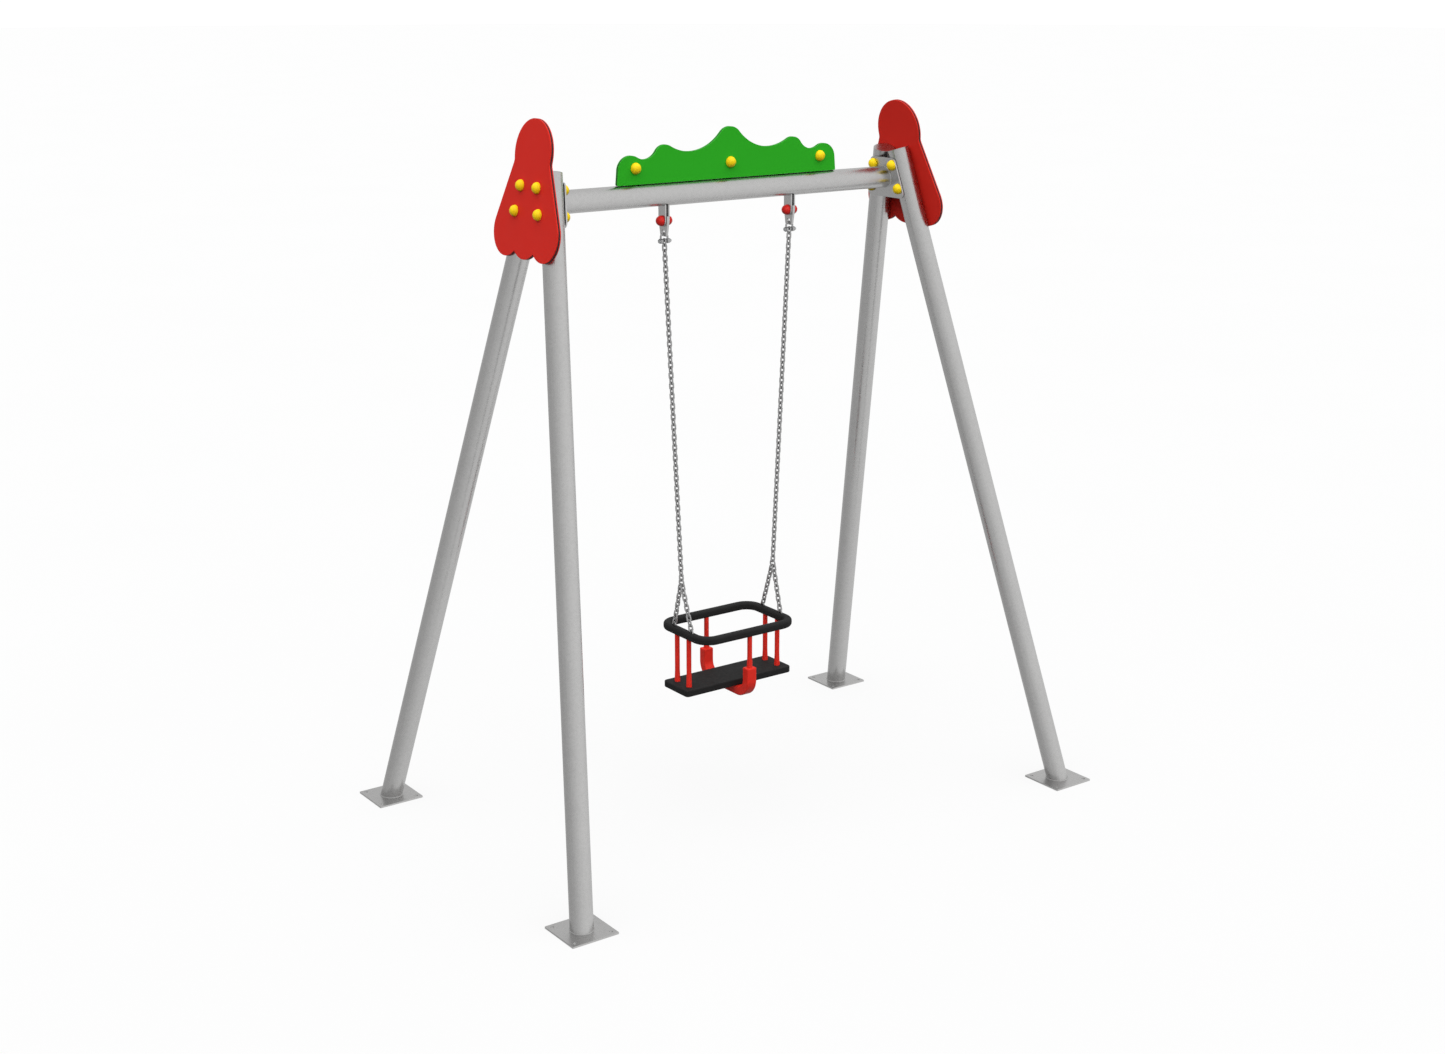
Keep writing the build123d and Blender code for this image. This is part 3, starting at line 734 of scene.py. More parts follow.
def chain_rule() -> Rule:
    """The rule of a straight chain: bent wire links down -Z, each turned a quarter from the last.

    Returns:
        The rule, which needs no starting mesh.
    """
    rule = Rule(
        "straight_chain",
        {
            "Links": ("Int", 10),
            "Pitch": ("Float", 18.2 * MM),
            "Inner Length": ("Float", 18.35 * MM),
            "Inner Width": ("Float", 8.4 * MM),
            "Wire Radius": ("Float", 3.0 * MM),
            "Bend Steps": ("Int", 12),
            "Wire Steps": ("Int", 8),
            "First Turn": ("Float", 0.0),
            "Start": ("Vector", (0.0, 0.0, 0.0)),
            "Lean": ("Vector", (0.0, 0.0, 0.0)),
            "Material": ("Material", None),
        },
    )
    wiring = rule.wiring
    half_step = wiring.math("DIVIDE", pi, rule.get("Bend Steps"))
    bend = wiring.math("MULTIPLY_ADD", rule.get("Inner Width"), 0.5, rule.get("Wire Radius"))
    corner = wiring.math("DIVIDE", bend, wiring.math("COSINE", half_step))
    feeds = {"Resolution": rule.get("Bend Steps"), "Radius": corner}
    circle = wiring.add("GeometryNodeCurvePrimitiveCircle", feeds)
    feeds = {"Geometry": circle.outputs[0], "Rotation": wiring.turn(wiring.vector(z=half_step))}
    level = wiring.add("GeometryNodeTransform", feeds)
    place = wiring.add("GeometryNodeInputPosition").outputs[0]
    split = wiring.add("ShaderNodeSeparateXYZ", {0: place})
    straight = wiring.math("SUBTRACT", rule.get("Inner Length"), rule.get("Inner Width"))
    shift = wiring.math("MULTIPLY", wiring.math("SIGN", split.outputs[1]), wiring.math("MULTIPLY", straight, 0.5))
    oval = wiring.add("GeometryNodeSetPosition", {"Geometry": level.outputs[0], "Offset": wiring.vector(y=shift)})
    feeds = {"Geometry": oval.outputs[0], "Rotation": wiring.turn((pi / 2, 0.0, 0.0))}
    upright = wiring.add("GeometryNodeTransform", feeds)
    feeds = {"Resolution": rule.get("Wire Steps"), "Radius": rule.get("Wire Radius")}
    wire = wiring.add("GeometryNodeCurvePrimitiveCircle", feeds)
    link = wiring.add("GeometryNodeCurveToMesh", {"Curve": upright.outputs[0], "Profile Curve": wire.outputs[0]})
    drop = wiring.math("MULTIPLY", rule.get("Inner Length"), -0.5)
    step = wiring.math("MULTIPLY", rule.get("Pitch"), -1.0)
    feeds = {"Count": rule.get("Links"), "Start Location": wiring.vector(z=drop), "Offset": wiring.vector(z=step)}
    row = wiring.add("GeometryNodeMeshLine", feeds)
    number = wiring.add("GeometryNodeInputIndex").outputs[0]
    quarter = wiring.math("MULTIPLY_ADD", number, pi / 2, rule.get("First Turn"))
    turn = wiring.turn(wiring.vector(z=quarter))
    feeds = {"Points": row.outputs[0], "Instance": link.outputs[0], "Rotation": turn}
    links = wiring.add("GeometryNodeInstanceOnPoints", feeds)
    lean = wiring.turn(rule.get("Lean"))
    feeds = {"Geometry": links.outputs[0], "Translation": rule.get("Start"), "Rotation": lean}
    hung = wiring.add("GeometryNodeTransform", feeds)
    rule.finish(hung.outputs[0])
    return rule


def scatter_rule() -> Rule:
    """The rule that puts one shape on every point of a mesh, facing along the point's "facing" attribute.

    Returns:
        The rule.
    """
    inputs = {"Shape": ("Object", None), "Size": ("Float", 1.0), "Material": ("Material", None)}
    rule = Rule("shape_on_points", inputs)
    wiring = rule.wiring
    shape = wiring.add("GeometryNodeObjectInfo", {"Object": rule.get("Shape")})
    facing = wiring.add("GeometryNodeInputNamedAttribute", {"Name": "facing"}, data_type="FLOAT_VECTOR")
    turn = wiring.add("FunctionNodeAlignRotationToVector", {"Vector": facing.outputs[0]}, axis="Z")
    feeds = {"Points": rule.get("Geometry"), "Instance": shape.outputs["Geometry"]}
    feeds.update({"Rotation": turn.outputs[0], "Scale": rule.get("Size")})
    shapes = wiring.add("GeometryNodeInstanceOnPoints", feeds)
    rule.finish(shapes.outputs[0])
    return rule


def bead_rule() -> Rule:
    """The rule of a weld: a rippled bead along the edges of a mesh.

    Returns:
        The rule.
    """
    rule = Rule(
        "weld_bead",
        {
            "Bead Radius": ("Float", 3.0 * MM),
            "Ripple": ("Float", 0.12),
            "Ripple Length": ("Float", 4.0 * MM),
            "Step": ("Float", 1.4 * MM),
            "Bead Steps": ("Int", 8),
            "Material": ("Material", None),
        },
    )
    wiring = rule.wiring
    line = wiring.add("GeometryNodeMeshToCurve", {0: rule.get("Geometry")})
    feeds = {"Curve": line.outputs[0], "Length": rule.get("Step")}
    even = wiring.add("GeometryNodeResampleCurve", feeds, mode="LENGTH")
    along = wiring.add("GeometryNodeSplineParameter").outputs["Length"]
    phase = wiring.math("DIVIDE", wiring.math("MULTIPLY", along, 2 * pi), rule.get("Ripple Length"))
    wave = wiring.math("MULTIPLY", wiring.math("SINE", phase), rule.get("Ripple"))
    size = wiring.math("ADD", wave, 1.0)
    feeds = {"Resolution": rule.get("Bead Steps"), "Radius": rule.get("Bead Radius")}
    ring = wiring.add("GeometryNodeCurvePrimitiveCircle", feeds)
    feeds = {"Curve": even.outputs[0], "Profile Curve": ring.outputs[0], "Scale": size, "Fill Caps": True}
    bead = wiring.add("GeometryNodeCurveToMesh", feeds)
    rule.finish(bead.outputs[0])
    return rule


def points_mesh(name: str, places: Sequence[Vector], facings: Sequence[Vector]) -> Mesh:
    """A mesh of loose points that each remember which way their shape faces.

    Args:
        name: Name of the mesh.
        places: Where the points are.
        facings: Which way each one faces.

    Returns:
        The mesh.
    """
    mesh = bpy.data.meshes.new(name)
    mesh.from_pydata([tuple(place) for place in places], [], [])
    facing = mesh.attributes.new("facing", "FLOAT_VECTOR", "POINT")
    for number, direction in enumerate(facings):
        facing.data[number].vector = direction
    return mesh


def loops_mesh(name: str, loops: Sequence[Sequence[Vector]]) -> Mesh:
    """A mesh of edges only, one closed row of edges for each loop.

    Args:
        name: Name of the mesh.
        loops: Points of each loop in order.

    Returns:
        The mesh.
    """
    points: list[Triple] = []
    edges: list[tuple[int, int]] = []
    for loop in loops:
        first = len(points)
        points.extend(tuple(point) for point in loop)
        last = len(points) - 1
        edges.extend((number, number + 1) for number in range(first, last))
        edges.append((last, first))
    mesh = bpy.data.meshes.new(name)
    mesh.from_pydata(points, edges, [])
    return mesh


def lathe(name: str, profile: Sequence[tuple[float, float]], steps: int) -> Mesh:
    """A closed shape turned about Z.

    Args:
        name: Name of the mesh.
        profile: Radius and height of each ring, from the axis below to the axis above.
        steps: Faces round the shape.

    Returns:
        The mesh.
    """
    work = bmesh.new()
    rings: list[list[bmesh.types.BMVert]] = []
    for radius, height in profile:
        if radius == 0.0:
            rings.append([work.verts.new((0.0, 0.0, height))])
            continue
        angles = [2 * pi * step / steps for step in range(steps)]
        rings.append([work.verts.new((radius * cos(a), radius * sin(a), height)) for a in angles])
    for below, above in zip(rings, rings[1:]):
        for step in range(steps):
            after = (step + 1) % steps
            corners = [below[step % len(below)], below[after % len(below)]]
            corners += [above[after % len(above)], above[step % len(above)]]
            work.faces.new(list(dict.fromkeys(corners))).smooth = True
    bmesh.ops.recalc_face_normals(work, faces=work.faces)
    return stored(name, work)


# ---------------------------------------------------------------- the leaning planes of the A-frames
@dataclass
class Layout:
    """Sizes that several sub-assemblies share.

    Attributes:
        foot_half_length: From the middle to a foot along X.
        foot_half_width: From the middle to a foot along Y.
        tilt: Lean of each A-frame towards the other.
        lean: Lean of each leg in its A-frame.
        tube_radius: Radius of legs and beam.
        beam_height: Height of the beam's axis.
        flange_face: Distance from the leg axes to the far face of a flange.
        hanger_offset: Distance of a hanger from the middle.
    """

    foot_half_length: float = 1040 * MM
    foot_half_width: float = 655 * MM
    tilt: float = radians(8.0)
    lean: float = radians(15.0)
    tube_radius: float = 38.05 * MM
    beam_height: float = 2184 * MM
    flange_face: float = 44.05 * MM
    hanger_offset: float = 263 * MM

    def plane(self, side: Side) -> Matrix:
        """The leaning plane of one A-frame: x across, y up the slope, z outwards.

        Args:
            side: Which A-frame.

        Returns:
            The matrix from the plane to the whole swing.
        """
        sign = side.value
        across = Vector((0.0, sign, 0.0))
        outwards = Vector((sign * cos(self.tilt), 0.0, sin(self.tilt)))
        up_slope = outwards.cross(across)
        turn = Matrix((across, up_slope, outwards)).transposed().to_4x4()
        return Matrix.Translation((sign * self.foot_half_length, 0.0, 0.0)) @ turn

    def outwards(self, side: Side) -> Vector:
        """The direction out of one A-frame's plane."""
        return self.plane(side).to_3x3() @ Z_AXIS

    @property
    def beam_slope_height(self) -> float:
        """Height of the beam's axis measured up the slope."""
        return self.beam_height / cos(self.tilt)

    def leg_axis(self, slope_height: float) -> float:
        """Distance of a leg's axis from the middle of its A-frame, up the slope."""
        return self.foot_half_width - slope_height * tan(self.lean)

    def leg_direction(self, side: Side, across: int) -> Vector:
        """The direction up one leg.

        Args:
            side: Which A-frame.
            across: Sign of the leg's foot across the A-frame's plane.

        Returns:
            A unit vector.
        """
        in_plane = Vector((-across * sin(self.lean), cos(self.lean), 0.0))
        return (self.plane(side).to_3x3() @ in_plane).normalized()


def cut_ring(centre: Vector, axis: Vector, radius: float, facing: Vector, steps: int = 96) -> list[Vector]:
    """The closed line where a round tube meets a plane through a point of its axis.

    Args:
        centre: Where the tube's axis meets the plane.
        axis: Direction of the tube.
        radius: Radius of the line about the tube's axis.
        facing: Normal of the plane.
        steps: Points on the line.

    Returns:
        The points in order.
    """
    first = axis.orthogonal().normalized()
    second = axis.cross(first).normalized()
    ring = []
    for step in range(steps):
        angle = 2 * pi * step / steps
        point = radius * (cos(angle) * first + sin(angle) * second)
        slide = -point.dot(facing) / axis.dot(facing)
        ring.append(centre + point + slide * axis)
    return ring


# ---------------------------------------------------------------- sub-assemblies
@dataclass
class AFrames:
    """Foot plates, legs, end discs and the flanges that close the beam.

    Attributes:
        layout: The shared sizes.
        plate_thickness: Thickness of a foot plate.
        edge: Rounding of cut steel edges.
        disc_edge: Rounding of the end discs.
        bead: Radius of a weld bead.
    """

    layout: Layout
    plate_thickness: float = 6 * MM
    edge: float = 0.7 * MM
    disc_edge: float = 0.5 * MM
    bead: float = 2.2 * MM

    def build(self, beads: Rule) -> None:
        """Builds every piece of both A-frames.

        Args:
            beads: The weld rule.
        """
        for side in Side:
            for end in End:
                where = f"{end.word}_{side.word}"
                clad(f"ground_plate_{where}", f"foot_plate_{where}", Body.FRAME, GALVANISED, self.edge)
                clad(f"leg_{where}", f"leg_tube_{where}", Body.FRAME, GALVANISED)
            clad(f"end_flange_{side.word}", f"beam_flange_{side.word}", Body.FRAME, GALVANISED, self.edge)
        clad("tube_end_discs", "leg_end_caps", Body.FRAME, GALVANISED, self.disc_edge)
        self.welds(beads)

    def welds(self, beads: Rule) -> None:
        """The beads round the foot of each leg and round each end of the beam.

        Args:
            beads: The weld rule.
        """
        layout = self.layout
        loops = []
        for side in Side:
            plane = layout.plane(side)
            for across in (-1, 1):
                axis = layout.leg_direction(side, across)
                foot = plane @ Vector((across * layout.foot_half_width, 0.0, 0.0))
                centre = foot + axis * (self.plate_thickness / axis.z)
                loops.append(cut_ring(centre, axis, layout.tube_radius, Z_AXIS))
            middle = plane @ Vector((0, layout.beam_slope_height, -layout.flange_face))
            shift = side.value * (middle.z - layout.beam_height) * tan(layout.tilt)
            centre = Vector((middle.x + shift, 0, layout.beam_height))
            loops.append(cut_ring(centre, X_AXIS, layout.tube_radius, layout.outwards(side)))
        piece = beads.make("frame_welds", loops_mesh("frame_welds", loops), GALVANISED, Bead_Radius=self.bead)
        attach(piece, Body.FRAME, GALVANISED)


@dataclass
class Crossbeam:
    """The beam tube."""

    def build(self) -> None:
        """Builds the beam."""
        clad("beam_tube", "crossbeam", Body.FRAME, GALVANISED)


@dataclass
class Panels:
    """The red end panels and the green crest, each a dark core between two skins.

    Attributes:
        edge: Rounding of the routed edges.
        tab_edge: Rounding of the tabs that carry the crest.
    """

    edge: float = 0.9 * MM
    tab_edge: float = 0.6 * MM

    def build(self) -> None:
        """Builds the skins, the cores and the tabs."""
        for side in Side:
            for layer in ("outer", "inner"):
                skin = f"panel_{layer}_skin_{side.word}"
                clad(f"end_{skin}", f"side_{skin}", Body.FRAME, RED_SKIN, self.edge)
            core = f"panel_core_{side.word}"
            clad(f"end_{core}", f"side_{core}", Body.FRAME, BLACK_CORE)
        for layer in ("front", "rear"):
            clad(f"crest_panel_{layer}_skin", f"crest_{layer}_skin", Body.FRAME, GREEN_SKIN, self.edge)
        clad("crest_panel_core", "crest_core", Body.FRAME, BLACK_CORE)
        clad("crest_tab_plates", "crest_tabs", Body.FRAME, GALVANISED, self.tab_edge)


@dataclass
class Caps:
    """The round plastic caps over every bolt and nut.

    Attributes:
        layout: The shared sizes.
        radius: Radius of a yellow cap.
        rise: Height of a yellow cap.
        hollow_radius: Radius of the hollow that takes the nut.
        hollow_depth: Depth of that hollow.
        pivot_radius: Radius of a red pivot cap.
        pivot_rise: Height of a red pivot cap.
        lip: Width of the flat lip that a cap stands on.
        lip_rise: Height of the lip's edge in widths of the lip.
        bulge: How round the egg shape is, from 0 for a drum to 1 for a true ellipse.
        dome_steps: Rings of faces from the foot to the top.
        dome_sides: Faces round a cap.
        panel_face: Distance from the leg axes to the outer face of an end panel.
        rows: Heights of the bolt rows above the beam's axis, up the slope.
        crest_offset: Distance of the outer crest bolts from the middle.
        crest_rise: Height of the crest bolts above the beam's axis.
        crest_front: Distance of the crest's front face from the middle.
        crest_back: Distance of the tabs' rear face from the middle.
        pivot_height: Height of the pivots.
        fork_half: Half the width of a fork.
    """

    layout: Layout
    radius: float = 19 * MM
    rise: float = 19 * MM
    hollow_radius: float = 11.4 * MM
    hollow_depth: float = 14 * MM
    pivot_radius: float = 18 * MM
    pivot_rise: float = 21 * MM
    lip: float = 0.8 * MM
    lip_rise: float = 0.6
    bulge: float = 0.92
    dome_steps: int = 11
    dome_sides: int = 28
    panel_face: float = 51.05 * MM
    rows: tuple[float, float] = (50.5 * MM, -32.0 * MM)
    crest_offset: float = 383 * MM
    crest_rise: float = 92.05 * MM
    crest_front: float = 13 * MM
    crest_back: float = 5 * MM
    pivot_height: float = 2096.95 * MM
    fork_half: float = 9.3 * MM

    def dome(self, name: str, radius: float, rise: float) -> Piece:
        """One cap that stands on Z = 0, hollow below, in a smooth egg shape.

        Args:
            name: Name of the shape.
            radius: Radius of its foot.
            rise: Its height.

        Returns:
            An object that only lends its shape.
        """
        profile = [(0.0, self.hollow_depth), (self.hollow_radius, self.hollow_depth), (self.hollow_radius, 0.0)]
        profile.append((radius - self.lip, 0.0))
        for step in range(self.dome_steps):
            angle = 0.5 * pi * step / self.dome_steps
            height = max(self.lip * self.lip_rise, rise * sin(angle))
            profile.append((radius * cos(angle) ** self.bulge, height))
        profile.append((0.0, rise))
        return piece_from(name, lathe(name, profile, self.dome_sides))

    def build(self, scatter: Rule) -> None:
        """Puts a cap on every bolt head and nut.

        Args:
            scatter: The rule that puts shapes on points.
        """
        yellow = self.dome("yellow_cap_shape", self.radius, self.rise)
        red = self.dome("red_cap_shape", self.pivot_radius, self.pivot_rise)
        outer, outer_facing, inner, inner_facing = [], [], [], []
        for side in Side:
            plane = self.layout.plane(side)
            outwards = self.layout.outwards(side)
            for row in self.rows:
                height = self.layout.beam_slope_height + row
                for across in (-1, 1):
                    x = across * self.layout.leg_axis(height)
                    outer.append(plane @ Vector((x, height, self.panel_face)))
                    inner.append(plane @ Vector((x, height, -self.layout.flange_face)))
                    outer_facing.append(outwards)
                    inner_facing.append(-outwards)
        crest, crest_facing = [], []
        height = self.layout.beam_height + self.crest_rise
        for x in (-self.crest_offset, 0.0, self.crest_offset):
            crest += [Vector((x, -self.crest_front, height)), Vector((x, self.crest_back, height))]
            crest_facing += [Vector((0, -1, 0)), Vector((0, 1, 0))]
        pivots, pivot_facing = [], []
        for side in Side:
            for sign in (-1, 1):
                x = side.value * self.layout.hanger_offset + sign * self.fork_half
                pivots.append(Vector((x, 0, self.pivot_height)))
                pivot_facing.append(Vector((sign, 0, 0)))
        rows = (
            ("end_panel_caps", "panel_caps_outer", outer, outer_facing, yellow, YELLOW_CAP),
            ("flange_caps", "panel_caps_inner", inner, inner_facing, yellow, YELLOW_CAP),
            ("crest_panel_caps", "crest_caps", crest, crest_facing, yellow, YELLOW_CAP),
            ("pivot_end_caps", "pivot_caps", pivots, pivot_facing, red, RED_CAP),
        )
        for name, node, places, facings, shape, finish in rows:
            piece = scatter.make(name, points_mesh(name, places, facings), finish, Shape=shape)
            attach(piece, Body.FRAME, finish, node)
        for shape in (yellow, red):
            bpy.data.objects.remove(shape)


@dataclass
class Hangers:
    """Forks under the beam, the links that turn in them, and the shackles.

    Attributes:
        edge: Rounding of cut steel edges.
        fastener_edge: Rounding of the pins and nuts.
    """

    edge: float = 0.6 * MM
    fastener_edge: float = 0.4 * MM

    def build(self) -> None:
        """Builds both hangers and dresses their fasteners."""
        for side in Side:
            clad(f"fork_{side.word}", f"hanger_fork_{side.word}", Body.FRAME, GALVANISED, self.edge)
            clad(f"flat_link_{side.word}", f"hanger_link_{side.word}", Body.SWING, GALVANISED, self.edge)
            clad(f"shackle_{side.word}", f"shackle_bow_{side.word}", Body.SWING, CHAIN_STEEL)
        clad("shackle_cross_pins", "shackle_pins", Body.SWING, BRIGHT_ZINC, self.fastener_edge)
        clad("shackle_pin_nuts", "shackle_nuts", Body.SWING, BRIGHT_ZINC, self.fastener_edge)
        dress(BRONZE, "pivot_bushes")
        dress(BRIGHT_ZINC, "pivot_bolts", "pivot_nuts", "panel_bolts", "panel_nuts", "crest_bolts", "crest_nuts")


@dataclass
class Chains:
    """The two main chains, the rings where they divide, and the four short chains.

    Attributes:
        layout: The shared sizes.
        wire_radius: Radius of the link wire.
        inner_width: Width inside a link.
        pitch: Spacing of the links of a main chain.
        play: What a link's inner length has beyond the pitch.
        main_count: Links in a main chain.
        branch_count: Links in a short chain.
        chain_top: Height of a main chain's top.
        junction_offset: Distance of a junction ring from the middle.
        branch_spread: Distance of a short chain's top from the ring's middle.
        ring_inner_radius: Radius inside a junction ring.
        ring_play: Gap between the last link and the junction ring.
        anchor_offset: Distance of the pins in the seat ring from the middle along X.
        anchor_spacing: Distance of those pins from the middle along Y.
        anchor_height: Height of those pins.
        anchor_pin_radius: Radius of those pins.
    """

    layout: Layout
    wire_radius: float = 3.0 * MM
    inner_width: float = 8.4 * MM
    pitch: float = 18.2 * MM
    play: float = 0.15 * MM
    main_count: int = 66
    branch_count: int = 10
    chain_top: float = 2033.45 * MM
    junction_offset: float = 201 * MM
    branch_spread: float = 6 * MM
    ring_inner_radius: float = 10 * MM
    ring_play: float = 0.3 * MM
    anchor_offset: float = 196 * MM
    anchor_spacing: float = 56 * MM
    anchor_height: float = 645.05 * MM
    anchor_pin_radius: float = 3.0 * MM

    def build(self, links: Rule) -> None:
        """Builds all chains and both junction rings.

        Args:
            links: The chain rule.
        """
        length = self.main_count * self.pitch + self.play + self.wire_radius
        lean = asin((self.layout.hanger_offset - self.junction_offset) / length)
        junction = self.chain_top - length * cos(lean)
        ring_radius = self.ring_inner_radius + self.wire_radius
        ring_height = junction + self.wire_radius + self.ring_play - self.ring_inner_radius
        branch_top = ring_height - sqrt(ring_radius ** 2 - self.branch_spread ** 2)
        for side in Side:
            top = Vector((side.value * self.layout.hanger_offset, 0, self.chain_top))
            down = Vector((-side.value * sin(lean), 0, -cos(lean)))
            piece = self.hang(links, f"long_chain_{side.word}", top, down, self.main_count, self.pitch, pi / 2)
            attach(piece, Body.SWING, CHAIN_STEEL, f"main_chain_{side.word}")
            for end in End:
                self.branch(links, side, end, branch_top)
        clad("chain_rings", "junction_rings", Body.SEAT, CHAIN_STEEL)

    def branch(self, links: Rule, side: Side, end: End, branch_top: float) -> None:
        """One short chain from the junction ring to the seat ring.

        Args:
            links: The chain rule.
            side: Left or right.
            end: Front or rear.
            branch_top: Height where it leaves the junction ring.
        """
        top = Vector((side.value * self.junction_offset, end.value * self.branch_spread, branch_top))
        bottom = Vector((side.value * self.anchor_offset, end.value * self.anchor_spacing, self.anchor_height))
        down = (bottom - top).normalized()
        span = (bottom - top).length + self.inner_width / 2 + self.anchor_pin_radius
        start = top - down * (self.inner_width / 2)
        where = f"{end.word}_{side.word}"
        pitch = span / self.branch_count
        piece = self.hang(links, f"short_chain_{where}", start, down, self.branch_count, pitch, 0.0)
        attach(piece, Body.SEAT, CHAIN_STEEL, f"branch_chain_{where}")

    def hang(
        self, links: Rule, name: str, start: Vector, down: Vector, count: int, pitch: float, first_turn: float
    ) -> Piece:
        """Hangs a straight row of links.

        Args:
            links: The chain rule.
            name: Name of the piece.
            start: Inside top of the first link.
            down: Direction of the row.
            count: Number of links.
            pitch: Their spacing.
            first_turn: Turn of the first link from lying across X.

        Returns:
            The chain.
        """
        along_y = down.cross(X_AXIS).normalized()
        along_x = down.cross(along_y).normalized()
        upright = -down
        turn = Matrix((along_x, upright.cross(along_x), upright)).transposed()
        link = {"Inner_Length": self.pitch + self.play, "Inner_Width": self.inner_width}
        link["Wire_Radius"] = self.wire_radius
        place = {"Start": tuple(start), "Lean": tuple(turn.to_euler("XYZ")), "First_Turn": first_turn}
        empty = bpy.data.meshes.new(name)
        return links.make(name, empty, CHAIN_STEEL, Links=count, Pitch=pitch, **link, **place)


@dataclass
class CradleSeat:
    """The rubber ring and plank, the red posts and the strap."""

    def build(self) -> None:
        """Builds the seat's pieces and dresses what is inside them."""
        clad("hand_ring", "seat_ring", Body.SEAT, RUBBER)
        clad("sitting_plank", "seat_plank", Body.SEAT, RUBBER)
        clad("crotch_strap", "seat_strap", Body.SEAT, SEAT_RED)
        for where in ("end", "centre"):
            clad(f"{where}_post_sleeves", f"{where}_posts", Body.SEAT, SEAT_RED)
        dress(INSERT_METAL, "plank_insert")
        dress(BRIGHT_ZINC, "strap_screws", "post_rods", "rod_nuts", "ring_anchor_pins")


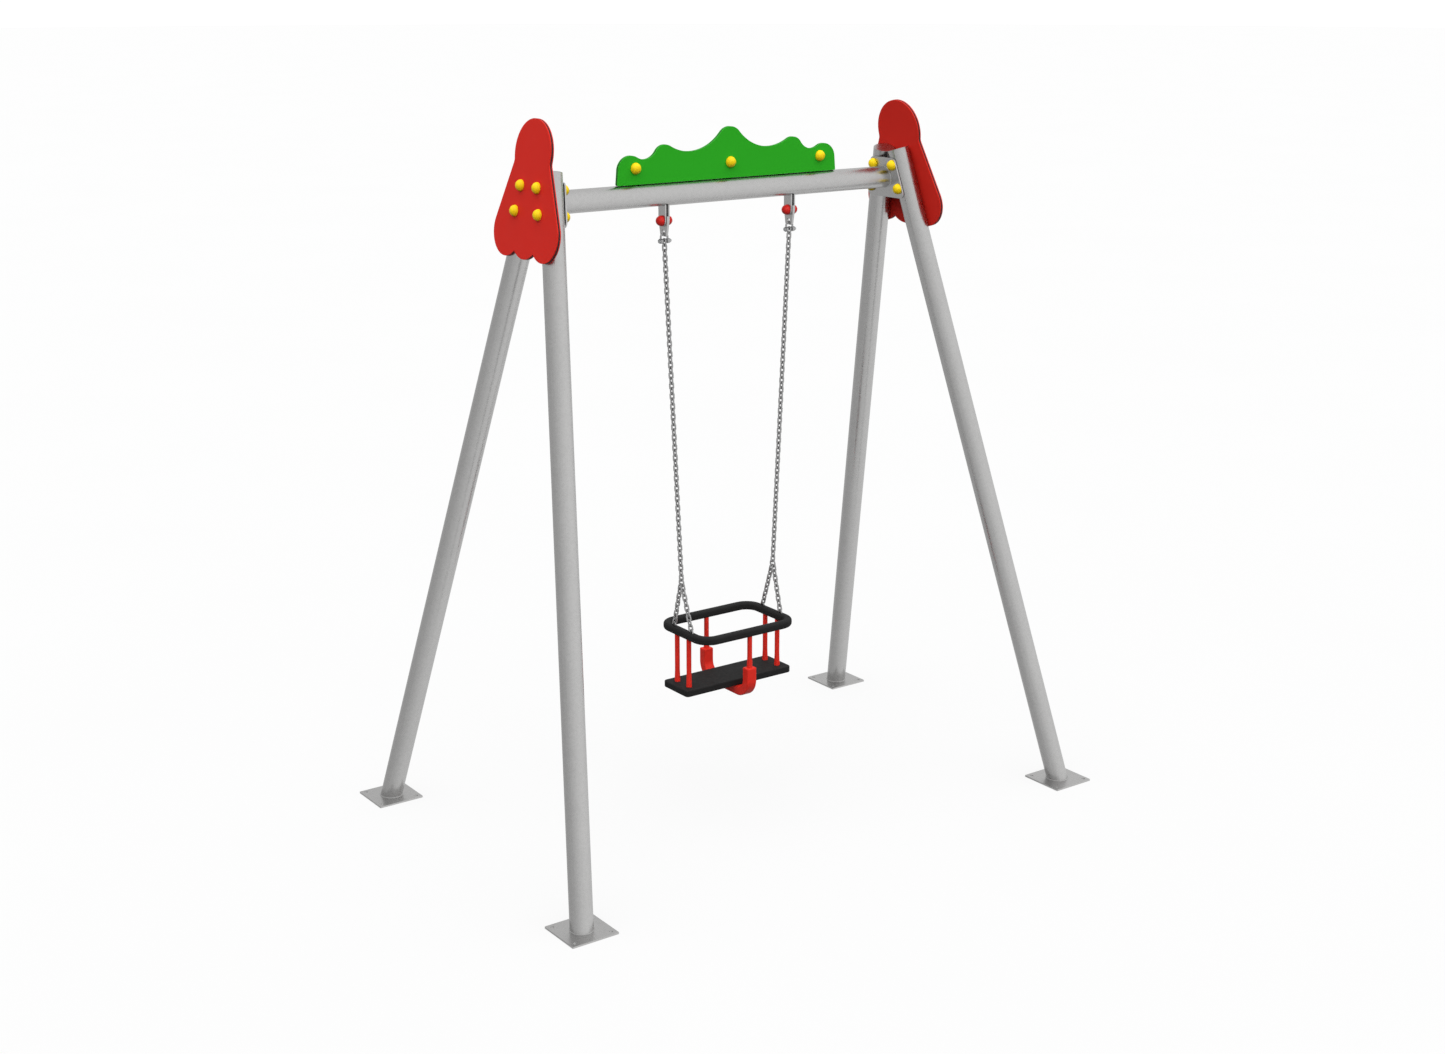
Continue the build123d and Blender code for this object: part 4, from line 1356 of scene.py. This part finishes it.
@dataclass
class Studio:
    """The floor, the light and the camera.

    Attributes:
        camera_place: Where the camera stands.
        look_down: How far it looks down, in degrees.
        look_right: How far it is turned from straight ahead, in degrees.
        lens: Focal length in millimetres.
        sensor: Sensor width in millimetres.
        view_end: How far the camera sees.
        floor_radius: Radius of the floor.
        floor_sides: Sides of the floor's outline.
        floor_glow: Light that the floor gives of itself.
        floor_shade: Share of the light that the floor returns, which carries the shadows.
        mottle: Darkest and lightest share of that in the floor's faint mottle.
        mottle_scale: How many of the mottle's clouds fit in a metre.
        tent_radius: Radius of the white tent.
        tent_splits: How finely the tent is divided into flat faces.
        sky: Middle strength of the tent.
        sky_swing: How much brighter the tent is on its bright side.
        bright_side: Direction of that side.
        sky_fill: Strength of the sky as it lights matt surfaces.
        backdrop: Strength of the sky as the camera sees it.
        key_power: Strength of the soft light overhead.
        key_width: Angle that it spans, in degrees.
        key_from: Direction that it shines from.
    """

    camera_place: Triple = (-4.0226, -5.5450, 2.9362)
    look_down: float = 15.8255
    look_right: float = -35.80
    lens: float = 50.0
    sensor: float = 36.0
    view_end: float = 400.0
    floor_radius: float = 90.0
    floor_sides: int = 128
    floor_glow: float = 0.81
    floor_shade: float = 0.095
    mottle: tuple[float, float] = (0.985, 1.015)
    mottle_scale: float = 0.7
    tent_radius: float = 80.0
    tent_splits: int = 3
    sky: float = 0.74
    sky_swing: float = 0.24
    bright_side: Triple = (0.6, -0.6, 0.4)
    sky_fill: float = 0.1
    backdrop: float = 1.05
    key_power: float = 5.9
    key_width: float = 132.0
    key_from: Triple = (-0.13, -0.3, 0.945)

    def build(self) -> None:
        """Builds the studio round the swing."""
        self.floor()
        self.tent()
        self.sky_light()
        self.key_light()
        self.camera()
        scene = bpy.context.scene
        scene.view_settings.view_transform = "Standard"
        scene.view_settings.look = "None"

    def floor(self) -> None:
        """A wide pale floor that glows almost to white, so that only soft shadows show on it."""
        work = bmesh.new()
        bmesh.ops.create_circle(work, cap_ends=True, segments=self.floor_sides, radius=self.floor_radius)
        floor = piece_from("studio_floor", stored("studio_floor", work))
        floor.data.materials.append(self.floor_material())
        floor.visible_diffuse = False
        floor.visible_glossy = False

    def floor_material(self) -> bpy.types.Material:
        """The floor's material.

        Returns:
            A pale material with a faint mottle.
        """
        material = bpy.data.materials.new("studio_floor")
        wiring = blank(material)
        cloud = wiring.noise(wiring.places(), self.mottle_scale, detail=3.0)
        pale, paler = (self.floor_shade * share for share in self.mottle)
        shade = wiring.between(cloud, (pale, pale, pale, 1.0), (paler, paler, paler, 1.0))
        matt = wiring.add("ShaderNodeBsdfDiffuse", {"Color": shade})
        glow = wiring.add("ShaderNodeEmission", {"Color": WHITE, "Strength": self.floor_glow})
        shown = wiring.add("ShaderNodeAddShader", {0: matt.outputs[0], 1: glow.outputs[0]})
        wiring.add("ShaderNodeOutputMaterial", {"Surface": shown.outputs[0]})
        return material

    def tent(self) -> None:
        """A white tent round the studio, brighter on one side, that only the metal and the gloss mirror."""
        work = bmesh.new()
        bmesh.ops.create_icosphere(work, subdivisions=self.tent_splits, radius=self.tent_radius)
        bmesh.ops.reverse_faces(work, faces=work.faces)
        tent = piece_from("studio_tent", stored("studio_tent", work))
        tent.data.materials.append(self.tent_material())
        tent.visible_camera = False
        tent.visible_diffuse = False
        tent.visible_shadow = False

    def tent_material(self) -> bpy.types.Material:
        """The tent's material.

        Returns:
            A glow that changes softly from one side of the tent to the other.
        """
        material = bpy.data.materials.new("studio_tent")
        wiring = blank(material)
        direction = wiring.add("ShaderNodeVectorMath", {0: wiring.places()}, operation="NORMALIZE")
        feeds = {0: direction.outputs[0], 1: self.bright_side}
        side = wiring.add("ShaderNodeVectorMath", feeds, operation="DOT_PRODUCT")
        level = wiring.math("MULTIPLY_ADD", side.outputs["Value"], self.sky_swing, self.sky)
        glow = wiring.add("ShaderNodeEmission", {"Color": WHITE, "Strength": level})
        wiring.add("ShaderNodeOutputMaterial", {"Surface": glow.outputs[0]})
        material.cycles.emission_sampling = "NONE"
        return material

    def sky_light(self) -> None:
        """A faint even sky that shows as plain white behind the swing."""
        world = bpy.data.worlds.new("studio")
        bpy.context.scene.world = world
        wiring = blank(world)
        path = wiring.add("ShaderNodeLightPath").outputs
        strength = wiring.add("ShaderNodeMix", {0: path["Is Camera Ray"], 2: self.sky_fill, 3: self.backdrop})
        back = wiring.add("ShaderNodeBackground", {"Color": WHITE, "Strength": strength.outputs[0]})
        wiring.add("ShaderNodeOutputWorld", {"Surface": back.outputs[0]})

    def key_light(self) -> None:
        """One wide soft light overhead, which casts the shadows and is not mirrored in the metal."""
        lamp = bpy.data.lights.new("key", "SUN")
        lamp.energy = self.key_power
        lamp.angle = radians(self.key_width)
        holder = bpy.data.objects.new("key", lamp)
        bpy.context.scene.collection.objects.link(holder)
        holder.rotation_euler = Vector(self.key_from).to_track_quat("Z", "Y").to_euler()
        holder.visible_glossy = False

    def camera(self) -> None:
        """The camera."""
        lens = bpy.data.cameras.new("camera")
        lens.lens = self.lens
        lens.sensor_width = self.sensor
        lens.clip_end = self.view_end
        holder = bpy.data.objects.new("camera", lens)
        bpy.context.scene.collection.objects.link(holder)
        holder.location = self.camera_place
        holder.rotation_euler = (radians(90 - self.look_down), 0.0, radians(self.look_right))
        bpy.context.scene.camera = holder


def main() -> None:
    """Builds the sub-assemblies in order."""
    logging.basicConfig(level=logging.INFO, format="%(message)s")
    layout = Layout()
    links = chain_rule()
    scatter = scatter_rule()
    beads = bead_rule()
    AFrames(layout).build(beads)
    Crossbeam().build()
    Panels().build()
    Caps(layout).build(scatter)
    Hangers().build()
    Chains(layout).build(links)
    CradleSeat().build()
    Studio().build()


if __name__ == "__main__":
    main()
